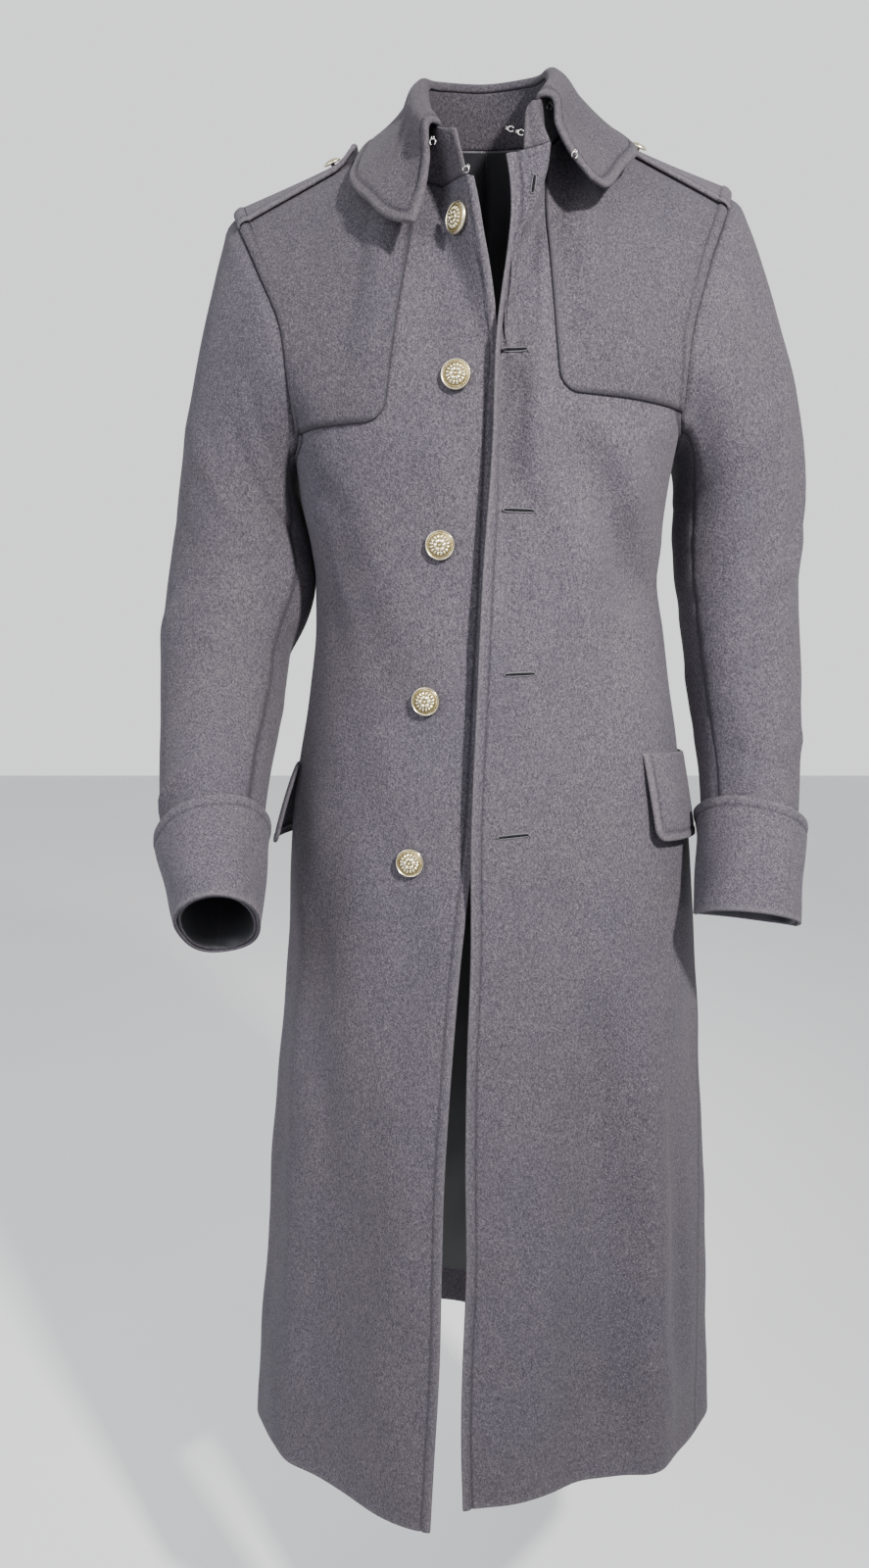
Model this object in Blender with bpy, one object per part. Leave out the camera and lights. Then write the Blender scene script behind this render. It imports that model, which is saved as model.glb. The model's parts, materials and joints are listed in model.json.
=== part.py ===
"""A long single-breasted wool greatcoat, worn open, as separate cloth pieces with a real wall.

Metres, +Z up. The front faces -Y and +X is the wearer's left. The origin is the point between
the shoulders where the coat is held up, so almost all heights are negative.
"""
import math

import bmesh
import bpy
import numpy as np

# Driving dimensions, in metres
WALL = 0.0024            # one layer of melton
COLLAR_WALL = 0.0040     # two layers and canvas
DOUBLED_WALL = 0.0034    # flaps, straps and cuffs, faced with the same cloth
GAP = 0.0003             # between two pieces that meet at a seam
SKIN_GAP = 0.0005        # between a panel and what is sewn flat on it
NECK_EDGE_LIFT = 0.0013  # the same along the yoke's top edge, where the cloth turns sharply
SEAM_EASE = 0.00018      # how far each panel is drawn back from a seam of the body
HEAD_EASE = 0.00066      # how far the sleeve is drawn back from the armhole
YOKE_EASE = (0.0012, 0.0046)   # how far the yoke is drawn back at the armhole and at its top
COLLAR_EASE = 0.0008     # between the neckline and the stand, and between the stand and the leaf
FLAP_CLEAR = 0.0011      # between the skirt and a flap's top edge
SHARP_ANGLE = 40.0       # degrees from which an edge is shaded sharp
BUTTON_RADIUS = 0.0127
STRAP_BUTTON_RADIUS = 0.0085
BUTTON_SEAT = 0.0002     # between the cloth and a front button's shank
STRAP_BUTTON_SEAT = 0.0004
SIDES = {"right": -1.0, "left": 1.0}

# The body as level rings: height, reach to the wearer's right and left, depth in front on the
# right half, in front on the left half and behind, and how squarely the ring swells between them
BODY = (
    (-1.300, -0.235, 0.244, 0.161, 0.152, 0.188, 0.000),
    (-1.200, -0.226, 0.237, 0.157, 0.150, 0.182, 0.010),
    (-1.050, -0.213, 0.228, 0.152, 0.148, 0.170, 0.025),
    (-0.900, -0.203, 0.216, 0.146, 0.144, 0.158, 0.035),
    (-0.750, -0.191, 0.208, 0.140, 0.140, 0.146, 0.040),
    (-0.650, -0.187, 0.200, 0.136, 0.137, 0.134, 0.040),
    (-0.560, -0.174, 0.187, 0.132, 0.133, 0.118, 0.040),
    (-0.500, -0.165, 0.177, 0.128, 0.130, 0.106, 0.045),
    (-0.430, -0.159, 0.165, 0.126, 0.128, 0.098, 0.050),
    (-0.370, -0.162, 0.160, 0.127, 0.129, 0.098, 0.060),
    (-0.320, -0.171, 0.166, 0.129, 0.131, 0.104, 0.080),
    (-0.280, -0.175, 0.172, 0.129, 0.131, 0.110, 0.100),
    (-0.230, -0.179, 0.178, 0.125, 0.127, 0.114, 0.115),
)

# The side seams as angles round the body from the front centre: height, right, left
SIDE_SEAMS = (
    (-1.300, 96.0, 64.0),
    (-1.050, 96.0, 68.0),
    (-0.850, 96.0, 75.0),
    (-0.600, 95.0, 80.0),
    (-0.430, 93.0, 85.0),
    (-0.280, 91.0, 89.0),
)

# The front edges: height, across, forward
FRONT_EDGE = {
    "right": (
        (-1.275, -0.052, -0.181),
        (-1.198, -0.048, -0.177),
        (-1.104, -0.043, -0.172),
        (-1.011, -0.041, -0.168),
        (-0.930, -0.039, -0.163),
        (-0.860, -0.035, -0.158),
        (-0.791, -0.030, -0.151),
        (-0.723, -0.024, -0.144),
        (-0.616, -0.012, -0.135),
        (-0.500, -0.006, -0.130),
        (-0.369, 0.000, -0.129),
        (-0.285, 0.003, -0.131),
        (-0.210, 0.004, -0.133),
        (-0.158, -0.002, -0.135),
        (-0.122, -0.009, -0.135),
        (-0.100, -0.013, -0.133),
        (-0.070, -0.020, -0.130),
    ),
    "left": (
        (-1.260, -0.020, -0.168),
        (-1.170, -0.022, -0.165),
        (-1.110, -0.021, -0.163),
        (-1.016, -0.018, -0.160),
        (-0.905, -0.019, -0.156),
        (-0.819, -0.018, -0.152),
        (-0.722, -0.015, -0.148),
        (-0.612, -0.015, -0.143),
        (-0.504, -0.011, -0.139),
        (-0.387, -0.006, -0.137),
        (-0.285, 0.001, -0.140),
        (-0.203, 0.004, -0.141),
        (-0.159, 0.009, -0.140),
        (-0.136, 0.012, -0.139),
        (-0.106, 0.014, -0.137),
        (-0.088, 0.013, -0.136),
        (-0.060, 0.008, -0.135),
    ),
}

# Heights that differ between the two halves, which hang a little unevenly
HEM = {"right": -1.265, "left": -1.252}
ARMPIT = {"right": -0.300, "left": -0.283}
EDGE_TOP = {"right": -0.083, "left": -0.069}
YOKE_LINE = {"right": (-0.269, -0.2735), "left": (-0.246, -0.2560)}   # at the corner, at the armhole
YOKE_ACROSS = {"right": -0.089, "left": 0.056}
FRONT_ARM_ANGLE = {"right": 61.0, "left": 58.0}   # where the yoke's lower edge meets the armhole
BACK_ARM_ANGLE = 120.0
BLADE_RISE = 0.040       # the back armhole's scoop above the armpit

# Neck point, shoulder seam and shoulder tip
NECK_POINT = {"right": (-0.074, 0.002, -0.012), "left": (0.079, 0.002, -0.004)}
SHOULDER_MIDDLE = {"right": (-0.150, 0.004, -0.045), "left": (0.150, 0.004, -0.0335)}
SHOULDER_TIP = {"right": (-0.2265, 0.002, -0.076), "left": (0.2175, 0.002, -0.060)}
SHOULDER_CROSSING = (0.06, 0.97, 0.10)       # direction from front to back over the seam
BACK_NECK = (0.002, 0.066, 0.000)

# The armhole above the yoke line: share of the way up, across, forward, height
FRONT_ARMHOLE = {
    "right": (
        (0.22, -0.1715, -0.088, -0.226),
        (0.42, -0.1770, -0.085, -0.187),
        (0.66, -0.1970, -0.062, -0.140),
        (0.86, -0.2150, -0.034, -0.101),
    ),
    "left": (
        (0.22, 0.1680, -0.089, -0.214),
        (0.42, 0.1740, -0.084, -0.178),
        (0.66, 0.1890, -0.061, -0.130),
        (0.86, 0.2060, -0.034, -0.087),
    ),
}
BACK_ARMHOLE = {
    "right": (
        (0.25, -0.1740, 0.070, -0.216),
        (0.50, -0.1830, 0.070, -0.166),
        (0.75, -0.2020, 0.050, -0.115),
    ),
    "left": (
        (0.25, 0.1710, 0.070, -0.200),
        (0.50, 0.1790, 0.070, -0.150),
        (0.75, 0.1960, 0.050, -0.099),
    ),
}

# The neckline between the yoke's seam and the neck point: share of the way, across, forward, height
NECKLINE = {
    "right": ((0.0, -0.057, -0.086, -0.073), (0.5, -0.069, -0.052, -0.040), (1.0, -0.074, 0.002, -0.012)),
    "left": ((0.0, 0.046, -0.084, -0.047), (0.5, 0.067, -0.050, -0.022), (1.0, 0.079, 0.002, -0.004)),
}
# The yoke's upright seam: share of the way up, across
YOKE_SEAM = {
    "right": ((0.0, -0.0890), (0.22, -0.0835), (0.39, -0.0785), (0.77, -0.0655), (1.0, -0.0570)),
    "left": ((0.0, 0.0560), (0.12, 0.0535), (0.25, 0.0505), (0.47, 0.0465), (0.78, 0.0430), (1.0, 0.0460)),
}

# How the open throat stands forward between its edge and the yoke's seam, as level sections. Each
# row: share of the way up, then at each of the four stops the share reached across and back
THROAT_STOPS = (0.0, 0.15, 0.40, 0.60, 0.80, 1.0)
THROAT = {
    "right": (
        (0.00, 0.15, 0.03, 0.40, 0.17, 0.60, 0.37, 0.80, 0.65),
        (0.24, 0.07, 0.03, 0.18, 0.27, 0.43, 0.47, 0.71, 0.73),
        (0.45, 0.07, 0.04, 0.26, 0.52, 0.49, 0.69, 0.75, 0.86),
        (0.61, 0.08, 0.05, 0.36, 0.72, 0.55, 0.82, 0.77, 0.92),
        (0.80, 0.12, 0.08, 0.52, 0.86, 0.67, 0.93, 0.83, 0.97),
        (1.00, 0.14, 0.08, 0.58, 0.88, 0.72, 0.94, 0.86, 0.98),
    ),
    "left": (
        (0.00, 0.15, 0.00, 0.40, 0.17, 0.60, 0.37, 0.80, 0.65),
        (0.20, 0.15, 0.00, 0.31, 0.04, 0.42, 0.40, 0.70, 0.78),
        (0.42, 0.15, -0.02, 0.31, -0.02, 0.40, 0.46, 0.68, 0.92),
        (0.62, 0.16, -0.02, 0.36, -0.02, 0.45, 0.46, 0.68, 0.90),
        (0.74, 0.30, -0.02, 0.70, -0.02, 0.75, 0.44, 0.84, 0.84),
        (0.87, 0.38, -0.03, 0.92, -0.02, 0.92, 0.42, 0.94, 0.78),
        (1.00, 0.38, -0.03, 0.95, -0.02, 0.94, 0.40, 0.95, 0.75),
    ),
}

# Soft folds: where their middle is (angle round the body, height), how long and wide they are,
# how far they lean and how high they stand
FOLDS = (
    (34.0, -0.36, 0.30, 16.0, 60.0, 0.0050),
    (-30.0, -0.40, 0.26, 15.0, -45.0, 0.0030),
    (45.0, -1.12, 0.60, 9.0, 4.0, 0.0080),
    (20.0, -1.12, 0.50, 8.0, -3.0, -0.0060),
    (78.0, -1.05, 0.60, 10.0, 0.0, 0.0040),
    (-34.0, -1.15, 0.50, 10.0, 3.0, -0.0030),
    (-58.0, -1.10, 0.60, 9.0, -4.0, 0.0040),
    (-84.0, -1.10, 0.55, 10.0, 2.0, 0.0050),
    (118.0, -1.05, 0.60, 12.0, -6.0, -0.0090),
    (146.0, -1.05, 0.62, 13.0, 5.0, 0.0100),
    (-116.0, -1.05, 0.60, 12.0, 5.0, -0.0080),
    (-148.0, -1.05, 0.62, 13.0, -4.0, 0.0100),
    (150.0, -0.40, 0.22, 14.0, 20.0, -0.0040),
    (-150.0, -0.40, 0.22, 14.0, -20.0, -0.0040),
)

# Sleeves as rings along the arm: across, forward, height, half width and half depth
SLEEVE = {
    "right": (
        (-0.2280, 0.006, -0.351, 0.0610, 0.0690),
        (-0.2310, 0.004, -0.387, 0.0645, 0.0690),
        (-0.2370, -0.005, -0.424, 0.0640, 0.0670),
        (-0.2430, -0.017, -0.460, 0.0610, 0.0640),
        (-0.2440, -0.032, -0.496, 0.0580, 0.0610),
        (-0.2445, -0.053, -0.530, 0.0540, 0.0580),
        (-0.2450, -0.079, -0.563, 0.0495, 0.0560),
        (-0.2430, -0.106, -0.594, 0.0455, 0.0530),
        (-0.2385, -0.134, -0.624, 0.0405, 0.0500),
        (-0.2270, -0.187, -0.679, 0.0320, 0.0480),
    ),
    "left": (
        (0.2380, 0.006, -0.335, 0.0590, 0.0690),
        (0.2390, 0.005, -0.387, 0.0585, 0.0670),
        (0.2410, 0.000, -0.424, 0.0560, 0.0650),
        (0.2440, -0.007, -0.461, 0.0540, 0.0620),
        (0.2460, -0.015, -0.497, 0.0525, 0.0590),
        (0.2470, -0.026, -0.533, 0.0490, 0.0560),
        (0.2475, -0.039, -0.569, 0.0450, 0.0530),
        (0.2450, -0.058, -0.603, 0.0430, 0.0495),
        (0.2418, -0.078, -0.640, 0.0405, 0.0450),
        (0.2342, -0.105, -0.699, 0.0435, 0.0430),
    ),
}
# How the sleeve head leaves the shoulder: outward, down, then its pull along the arm
CAP = {"right": (0.055, -0.030, 0.20), "left": (0.100, -0.035, 0.20)}
CAP_UNDER = (0.035, 0.07)  # the same outward and along the arm at the armpit
CAP_LEVEL = (0.025, 0.030) # the same outward and forward half-way between
CAP_ROWS = 7
FRONT_SLEEVE_SEAM = 9     # ring point, counted from the shoulder tip down the front
HIND_SLEEVE_SEAM = 17     # ring point, counted on round the armpit and up the back
# Cuffs: length, how much of it the outer side lacks, and how far they stand off at top and rim
CUFF = {"right": (0.090, 0.06, 0.0040, 0.0), "left": (0.092, 0.06, 0.0040, 0.0)}
CUFF_CLEAR = 0.0006       # between the sleeve and its cuff at the rim
CUFF_ROWS = 6
RIM_PAST_SLEEVE = 0.0010  # how far the cuff's rim passes the sleeve's end

# The collar from the right front round the neck to the left front. Each row: share of the way
# round, then the stand's top line (across, forward, height)
STAND_TOP = (
    (0.00, -0.031, -0.121, -0.045),
    (0.10, -0.045, -0.110, -0.040),
    (0.20, -0.053, -0.074, -0.018),
    (0.32, -0.055, -0.012, 0.024),
    (0.42, -0.041, 0.038, 0.041),
    (0.50, 0.001, 0.056, 0.046),
    (0.58, 0.042, 0.038, 0.045),
    (0.68, 0.052, -0.012, 0.033),
    (0.80, 0.049, -0.072, 0.003),
    (0.90, 0.039, -0.112, -0.020),
    (1.00, 0.025, -0.124, -0.030),
)
# The leaf's lower edge: share of the way round, across, forward, height
LEAF_EDGE = (
    (0.10, -0.062, -0.127, -0.118),
    (0.14, -0.077, -0.119, -0.114),
    (0.22, -0.103, -0.095, -0.090),
    (0.29, -0.117, -0.055, -0.058),
    (0.33, -0.109, -0.010, -0.022),
    (0.37, -0.097, 0.026, -0.008),
    (0.44, -0.058, 0.072, -0.006),
    (0.50, 0.001, 0.086, -0.004),
    (0.56, 0.059, 0.072, -0.002),
    (0.63, 0.099, 0.026, -0.003),
    (0.67, 0.110, -0.010, -0.011),
    (0.71, 0.121, -0.048, -0.037),
    (0.79, 0.106, -0.088, -0.066),
    (0.87, 0.088, -0.118, -0.087),
    (0.91, 0.077, -0.127, -0.085),
)
# The leaf's roll over the stand, from the stand's top: how far out and how far up
ROLL = ((0.0000, 0.0000), (0.0002, 0.0022), (0.0026, 0.0042), (0.0062, 0.0020))
HOLLOW = 0.0065           # how far the leaf hangs inside a straight line to its edge
ROLL_INSET = 0.0004       # how far inside the stand's top line the leaf starts
STAND_ROWS = (0.0, 0.35, 0.7, 1.0)
LEAF_ROWS = (0.33, 0.66, 1.0)
LEAF_COLUMNS = 31
# Each shoulder strap: its first column from the neck, its tip's rise, and its button's row from the
# front and place between the first columns
STRAP = {"right": (2, 0.009, 2, 0.28), "left": (2, 0.0, 3, 0.12)}
STRAP_END_EASE = 0.002    # how far the strap stops short of the sleeve head

# Pocket flaps: height of the top at the front and rear end, angles round the body, depth, stand-off
FLAPS = {
    "right": {"top": (-0.571, -0.577), "angles": (-77.0, -128.0), "depth": 0.075, "stand": (0.012, 0.012)},
    "left": {"top": (-0.550, -0.564), "angles": (44.0, 104.0), "depth": 0.077, "stand": (0.007, 0.000)},
}

# The buttons on the right front: height, across
BUTTONS = ((-0.111, -0.027), (-0.233, -0.029), (-0.369, -0.042), (-0.500, -0.054), (-0.641, -0.068))
BUTTON_LIFT = 0.0016      # the shank's length, from the cloth to the button's back

# How finely each stretch is divided, as shares of the way across or up
YOKE_SHARE = 0.44         # where the yoke's upright seam lies across the front
NECK_SHARE = 0.66         # where the neck point lies across the front
BACK_NECK_SHARE = 0.34
NECK_CELLS = 4
SHOULDER_STOPS = (0.16, 0.270, 0.34, 0.56, 0.78, 1.0)
YOKE_STOPS = (0.16, 0.32, 0.48, 0.62, 0.76, 0.890, 0.945, 1.0)
LOWER_ROWS = 15
SCOOP_ROWS = 3
VENT_TOP_ROW = 9          # rows up from the hem to the top of the vent
VENT_UNDER = -0.13        # how far the right back runs on under the left one, as a share
EDGE_FADE = 32.0          # degrees over which a front settles from its edge onto the body
EDGE_ROLL = 8.0           # the same beside the left front's rolled upper edge
EDGE_ROLL_RISE = (-0.42, -0.30)   # heights between which that roll sets in
FRONT_PULL = (0.90, 0.85) # how strongly a front's columns keep their direction at the foot and top
BACK_PULL = (0.95, 0.80)  # the same for a back
ARM_PULL = 2.2            # how fast the armhole's own line fades away from it
FLAP_COLUMNS = 11
FLAP_ROWS = 6


def curve(rows, at):
    """Read a smooth curve through rows of (position, value, value, ...) at given positions."""
    table = np.asarray(rows, float)
    keys, values = table[:, 0], table[:, 1:]
    slopes = np.gradient(values, keys, axis=0)
    at = np.clip(np.asarray(at, float), keys[0], keys[-1])
    low = np.clip(np.searchsorted(keys, at, side="right") - 1, 0, len(keys) - 2)
    span = keys[low + 1] - keys[low]
    t = ((at - keys[low]) / span)[..., None]
    span = span[..., None]
    t2, t3 = t * t, t * t * t
    return ((2 * t3 - 3 * t2 + 1) * values[low] + (t3 - 2 * t2 + t) * span * slopes[low]
            + (3 * t2 - 2 * t3) * values[low + 1] + (t3 - t2) * span * slopes[low + 1])


def spline(stops, knots, at):
    """Read a smooth curve through knots that differ from point to point: knots[..., stop, value]."""
    stops = np.asarray(stops, float)
    slopes = np.gradient(knots, stops, axis=-2)
    low = np.clip(np.searchsorted(stops, at, side="right") - 1, 0, len(stops) - 2)
    span = (stops[low + 1] - stops[low])[..., None]
    t = ((at - stops[low])[..., None]) / span
    t2, t3 = t * t, t * t * t

    def pick(values, index):
        return np.take_along_axis(values, index[..., None, None], axis=-2)[..., 0, :]

    return ((2 * t3 - 3 * t2 + 1) * pick(knots, low) + (t3 - 2 * t2 + t) * span * pick(slopes, low)
            + (3 * t2 - 2 * t3) * pick(knots, low + 1) + (t3 - t2) * span * pick(slopes, low + 1))


def ramp(value):
    """Rise smoothly from 0 to 1 as the value goes from 0 to 1."""
    value = np.clip(value, 0.0, 1.0)
    return value * value * (3.0 - 2.0 * value)


def mix(a, b, share):
    """Blend two numbers or points."""
    return a + (b - a) * share


def unit(vectors):
    """Scale vectors to length one."""
    return vectors / np.maximum(np.linalg.norm(vectors, axis=-1, keepdims=True), 1e-12)


def flat_out(points):
    """Level direction away from the body's axis."""
    return unit(points * np.array((1.0, 1.0, 0.0)))


def hermite(start, leave, end, arrive, t):
    """Run a curve between two points with given directions at both."""
    t = np.asarray(t, float)[..., None]
    t2, t3 = t * t, t * t * t
    return ((2 * t3 - 3 * t2 + 1) * start + (t3 - 2 * t2 + t) * leave
            + (3 * t2 - 2 * t3) * end + (t3 - t2) * arrive)


def fold_height(angle, height):
    """How far the soft folds raise the cloth at an angle (degrees) and height."""
    total = np.zeros(np.broadcast(angle, height).shape)
    for middle, level, length, width, lean, rise in FOLDS:
        along = (height - level) / (0.5 * length)
        off = (angle - middle - lean * (height - level) / 0.3) / width
        fade = ramp(1.5 - np.abs(along))
        total = total + rise * fade * np.exp(-off * off * 2.0)
    return total


def ring(angle, height):
    """Point on the body's ring at an angle (degrees, + to the wearer's left) and height."""
    angle = np.asarray(angle, float)
    height = np.asarray(height, float)
    angle, height = np.broadcast_arrays(angle, height)
    sizes = curve(BODY, height)
    right, left, front_right, front_left, back, swell = (sizes[..., i] for i in range(6))
    turn = np.radians(angle)
    side, ahead = np.sin(turn), np.cos(turn)
    front = mix(front_right, front_left, ramp(side * 2.0 + 0.5))
    depth = np.where(ahead > 0.0, front, back)
    swell = 1.0 + swell * np.sin(2.0 * turn) ** 2
    half = 0.5 * (left - right)
    middle = 0.5 * (left + right)
    out = np.stack([side / half, -ahead / depth, np.zeros_like(side)], axis=-1)
    base = np.stack([middle + half * side * swell, -depth * ahead * swell, height], axis=-1)
    return base + unit(out) * fold_height(angle, height)[..., None]


def seam_angle(side, height):
    """Angle of a side seam, unsigned."""
    column = 0 if side == "right" else 1
    return curve(SIDE_SEAMS, height)[..., column]


def edge_point(side, height):
    """Point on a front edge."""
    found = curve(FRONT_EDGE[side], height)
    return np.stack([found[..., 0], found[..., 1], np.asarray(height, float) + 0 * found[..., 0]], axis=-1)


def edge_angle(side, height):
    """Angle of the front edge round the body's ring."""
    sizes = curve(BODY, height)
    half = 0.5 * (sizes[..., 1] - sizes[..., 0])
    middle = 0.5 * (sizes[..., 1] + sizes[..., 0])
    return np.degrees(np.arcsin((edge_point(side, height)[..., 0] - middle) / half))


def on_front(side, share, end_angle, height):
    """Point across a front at a height: share 0 is the front edge, 1 the given angle."""
    start = edge_angle(side, height)
    angle = start + (SIDES[side] * end_angle - start) * share
    wanted = edge_point(side, height) - ring(start, height)
    low, high = EDGE_ROLL_RISE
    rolled = ramp((height - low) / (high - low)) if side == "left" else 0.0
    span = mix(EDGE_FADE, EDGE_ROLL, rolled)
    settle = 1.0 - ramp(np.abs(angle - start) / span)
    return ring(angle, height) + wanted * settle[..., None]


def corner_share(side):
    """Share across the front at which the yoke's upright seam starts."""
    low, high = 0.2, 0.8
    height = np.array(YOKE_LINE[side][0])
    for _ in range(30):
        middle = 0.5 * (low + high)
        across = on_front(side, np.array(middle), FRONT_ARM_ANGLE[side], height)[..., 0] * SIDES[side]
        low, high = (middle, high) if across < YOKE_ACROSS[side] * SIDES[side] else (low, middle)
    return 0.5 * (low + high)


CORNER = {side: corner_share(side) for side in SIDES}


def yoke_line(side, u):
    """The level line that carries the yoke's lower edge, from the front edge to the armhole."""
    share = np.where(u < YOKE_SHARE, u / YOKE_SHARE * CORNER[side],
                     CORNER[side] + (u - YOKE_SHARE) / (1.0 - YOKE_SHARE) * (1.0 - CORNER[side]))
    corner, arm = YOKE_LINE[side]
    level = mix(corner, arm, np.clip((u - YOKE_SHARE) / (1.0 - YOKE_SHARE), 0.0, 1.0) ** 1.5)
    return share, level


def front_lower(side, u, v):
    """Front panel from the hem (v 0) to the armpit's level (v 1)."""
    height = mix(HEM[side], ARMPIT[side], v)
    share = mix(u, yoke_line(side, u)[0], v ** 3)
    return on_front(side, share, seam_angle(side, height), height)


def front_scoop(side, u, v):
    """Front panel from the armpit's level (v 0) to the yoke line (v 1), cut away by the armhole."""
    share, level = yoke_line(side, u)
    quarter = 0.5 * math.pi * v
    rise = mix(v, 1.0 - np.cos(quarter), u ** 3)
    height = mix(ARMPIT[side], level, rise)
    start = seam_angle(side, ARMPIT[side])
    return on_front(side, share, mix(start, FRONT_ARM_ANGLE[side], np.sin(quarter)), height)


def shoulder_point(side, share):
    """Point on the shoulder seam from the neck point (0) to the tip (1)."""
    rows = ((0.0,) + NECK_POINT[side], (0.5,) + SHOULDER_MIDDLE[side], (1.0,) + SHOULDER_TIP[side])
    return curve(rows, share)


def armhole_point(side, face, share):
    """Point on the armhole from the yoke or blade line (0) up to the shoulder tip (1)."""
    if face == "front":
        start = front_scoop(side, np.array(1.0), np.array(1.0))
        rows = FRONT_ARMHOLE[side]
    else:
        start = back_scoop(side, np.array(1.0), np.array(1.0))
        rows = BACK_ARMHOLE[side]
    table = ((0.0,) + tuple(start),) + rows + ((1.0,) + SHOULDER_TIP[side],)
    return curve(table, share)


def upward(surface, side, u):
    """Direction of a panel's surface straight up at its top row, per metre of height."""
    step = 0.01
    share, level = yoke_line(side, u)
    if surface is front_scoop:
        low = on_front(side, share, np.array(FRONT_ARM_ANGLE[side]), level - step)
        high = on_front(side, share, np.array(FRONT_ARM_ANGLE[side]), level)
        return (high - low) / step
    angle = back_angle(side, u, BACK_ARM_ANGLE)
    level = blade_level(side)
    return (ring(angle, level) - ring(angle, level - step)) / step


def front_top(side, u):
    """The front's top boundary and the direction in which its columns reach it."""
    sign = SIDES[side]
    neck = curve(NECKLINE[side], np.clip((u - YOKE_SHARE) / (NECK_SHARE - YOKE_SHARE), 0.0, 1.0))
    seam = shoulder_point(side, np.clip((u - NECK_SHARE) / (1.0 - NECK_SHARE), 0.0, 1.0))
    point = np.where((u < NECK_SHARE)[..., None], neck, seam)
    crossing = np.array(SHOULDER_CROSSING) * np.array((sign, 1.0, 1.0))
    at_neck = np.array((0.30 * sign, 0.35, 0.88))
    share = ramp((u - YOKE_SHARE) / (NECK_SHARE - YOKE_SHARE))[..., None]
    return point, unit(mix(at_neck, crossing, share))


def front_outer(side, u, v):
    """Yoke part of a front, outward of the upright seam: v 0 on the yoke line, 1 at the top."""

    def free(at):
        base = front_scoop(side, at, np.ones_like(at))
        top, arrive = front_top(side, at)
        reach = np.linalg.norm(top - base, axis=-1)[..., None]
        leave = upward(front_scoop, side, at) * FRONT_PULL[0]
        return hermite(base, leave * reach, top, arrive * FRONT_PULL[1] * reach, v)

    way = np.clip((u - YOKE_SHARE) / (1.0 - YOKE_SHARE), 0.0, 1.0)
    at_arm = armhole_point(side, "front", v) - free(np.ones_like(u))
    at_seam = curve(YOKE_SEAM[side], v)[..., 0] - free(np.full_like(u, YOKE_SHARE))[..., 0]
    column = free(u) + at_arm * (way ** ARM_PULL)[..., None]
    column[..., 0] += at_seam * (1.0 - way) ** 2
    return column


def front_throat(side, u, v):
    """Strip of a front between its edge and the yoke's upright seam, which stands forward."""
    share = u / YOKE_SHARE
    height = mix(YOKE_LINE[side][0], EDGE_TOP[side], v)
    edge = edge_point(side, height)
    seam = front_outer(side, np.full_like(u, YOKE_SHARE), v)
    rows = curve(THROAT[side], v)
    knots = np.zeros(share.shape + (len(THROAT_STOPS), 2))
    for k in range(1, len(THROAT_STOPS) - 1):
        knots[..., k, :] = rows[..., 2 * k - 2:2 * k]
    knots[..., -1, :] = 1.0
    reached = spline(THROAT_STOPS, knots, share)
    way = seam - edge
    steps = np.stack([reached[..., 0], reached[..., 1], share], axis=-1)
    flat = front_scoop(side, u, np.ones_like(u))
    low_edge = edge_point(side, np.array(YOKE_LINE[side][0]))
    low_seam = front_scoop(side, np.array(YOKE_SHARE), np.array(1.0))
    low_rows = np.array(THROAT[side][0][1:]).reshape(-1, 2)
    low_knots = np.concatenate([np.zeros((1, 2)), low_rows, np.ones((1, 2))])
    low = spline(THROAT_STOPS, np.broadcast_to(low_knots, knots.shape), share)
    low_steps = np.stack([low[..., 0], low[..., 1], share], axis=-1)
    missing = flat - (low_edge + (low_seam - low_edge) * low_steps)
    return edge + way * steps + missing * ((1.0 - v) ** 2)[..., None]


def front_upper(side, u, v):
    """Front panel from the yoke line (v 0) to the neckline and shoulder seam (v 1)."""
    inner = front_throat(side, np.minimum(u, YOKE_SHARE), v)
    outer = front_outer(side, np.maximum(u, YOKE_SHARE), v)
    return np.where((u < YOKE_SHARE)[..., None], inner, outer)


def blade_level(side):
    """Height of the back's line across the shoulder blades."""
    return ARMPIT[side] + BLADE_RISE


def back_angle(side, u, end_angle):
    """Signed angle round the ring, from the centre back (u 0) to the given angle."""
    return SIDES[side] * mix(180.0, end_angle, u)


def vent_inset(side, u, height):
    """How far the right back swings inward beside the vent, where it passes under the left one."""
    if side == "left":
        return 0.0 * height
    top = mix(HEM[side], ARMPIT[side], VENT_TOP_ROW / LOWER_ROWS)
    near = np.clip(1.0 - np.maximum(u, 0.0) / 0.35, 0.0, 1.0) ** 2
    drop = np.clip((top - height) / (top - HEM[side]), 0.0, 1.0)
    return near * (0.0050 * (drop > 0.02) + 0.026 * drop ** 2)


def back_lower(side, u, v):
    """Back panel from the hem (v 0) to the armpit's level (v 1)."""
    height = mix(HEM[side], ARMPIT[side], v)
    middle_hem = 0.5 * (HEM["right"] + HEM["left"])
    height = height + (middle_hem - HEM[side]) * (1.0 - v) * ramp(1.0 - u)
    middle_pit = 0.5 * (ARMPIT["right"] + ARMPIT["left"])
    height = height + (middle_pit - ARMPIT[side]) * v * ramp(1.0 - u)
    point = ring(back_angle(side, u, seam_angle(side, height)), height)
    return point - flat_out(point) * vent_inset(side, u, height)[..., None]


def back_scoop(side, u, v):
    """Back panel from the armpit's level (v 0) to the blade line (v 1)."""
    quarter = 0.5 * math.pi * v
    rise = mix(v, 1.0 - np.cos(quarter), u ** 3)
    middle_pit = 0.5 * (ARMPIT["right"] + ARMPIT["left"])
    start = mix(middle_pit, ARMPIT[side], ramp(u))
    end = mix(middle_pit, ARMPIT[side], ramp(u)) + BLADE_RISE
    height = mix(start, end, rise)
    end_angle = mix(seam_angle(side, ARMPIT[side]), BACK_ARM_ANGLE, np.sin(quarter))
    return ring(back_angle(side, u, end_angle), height)


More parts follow.
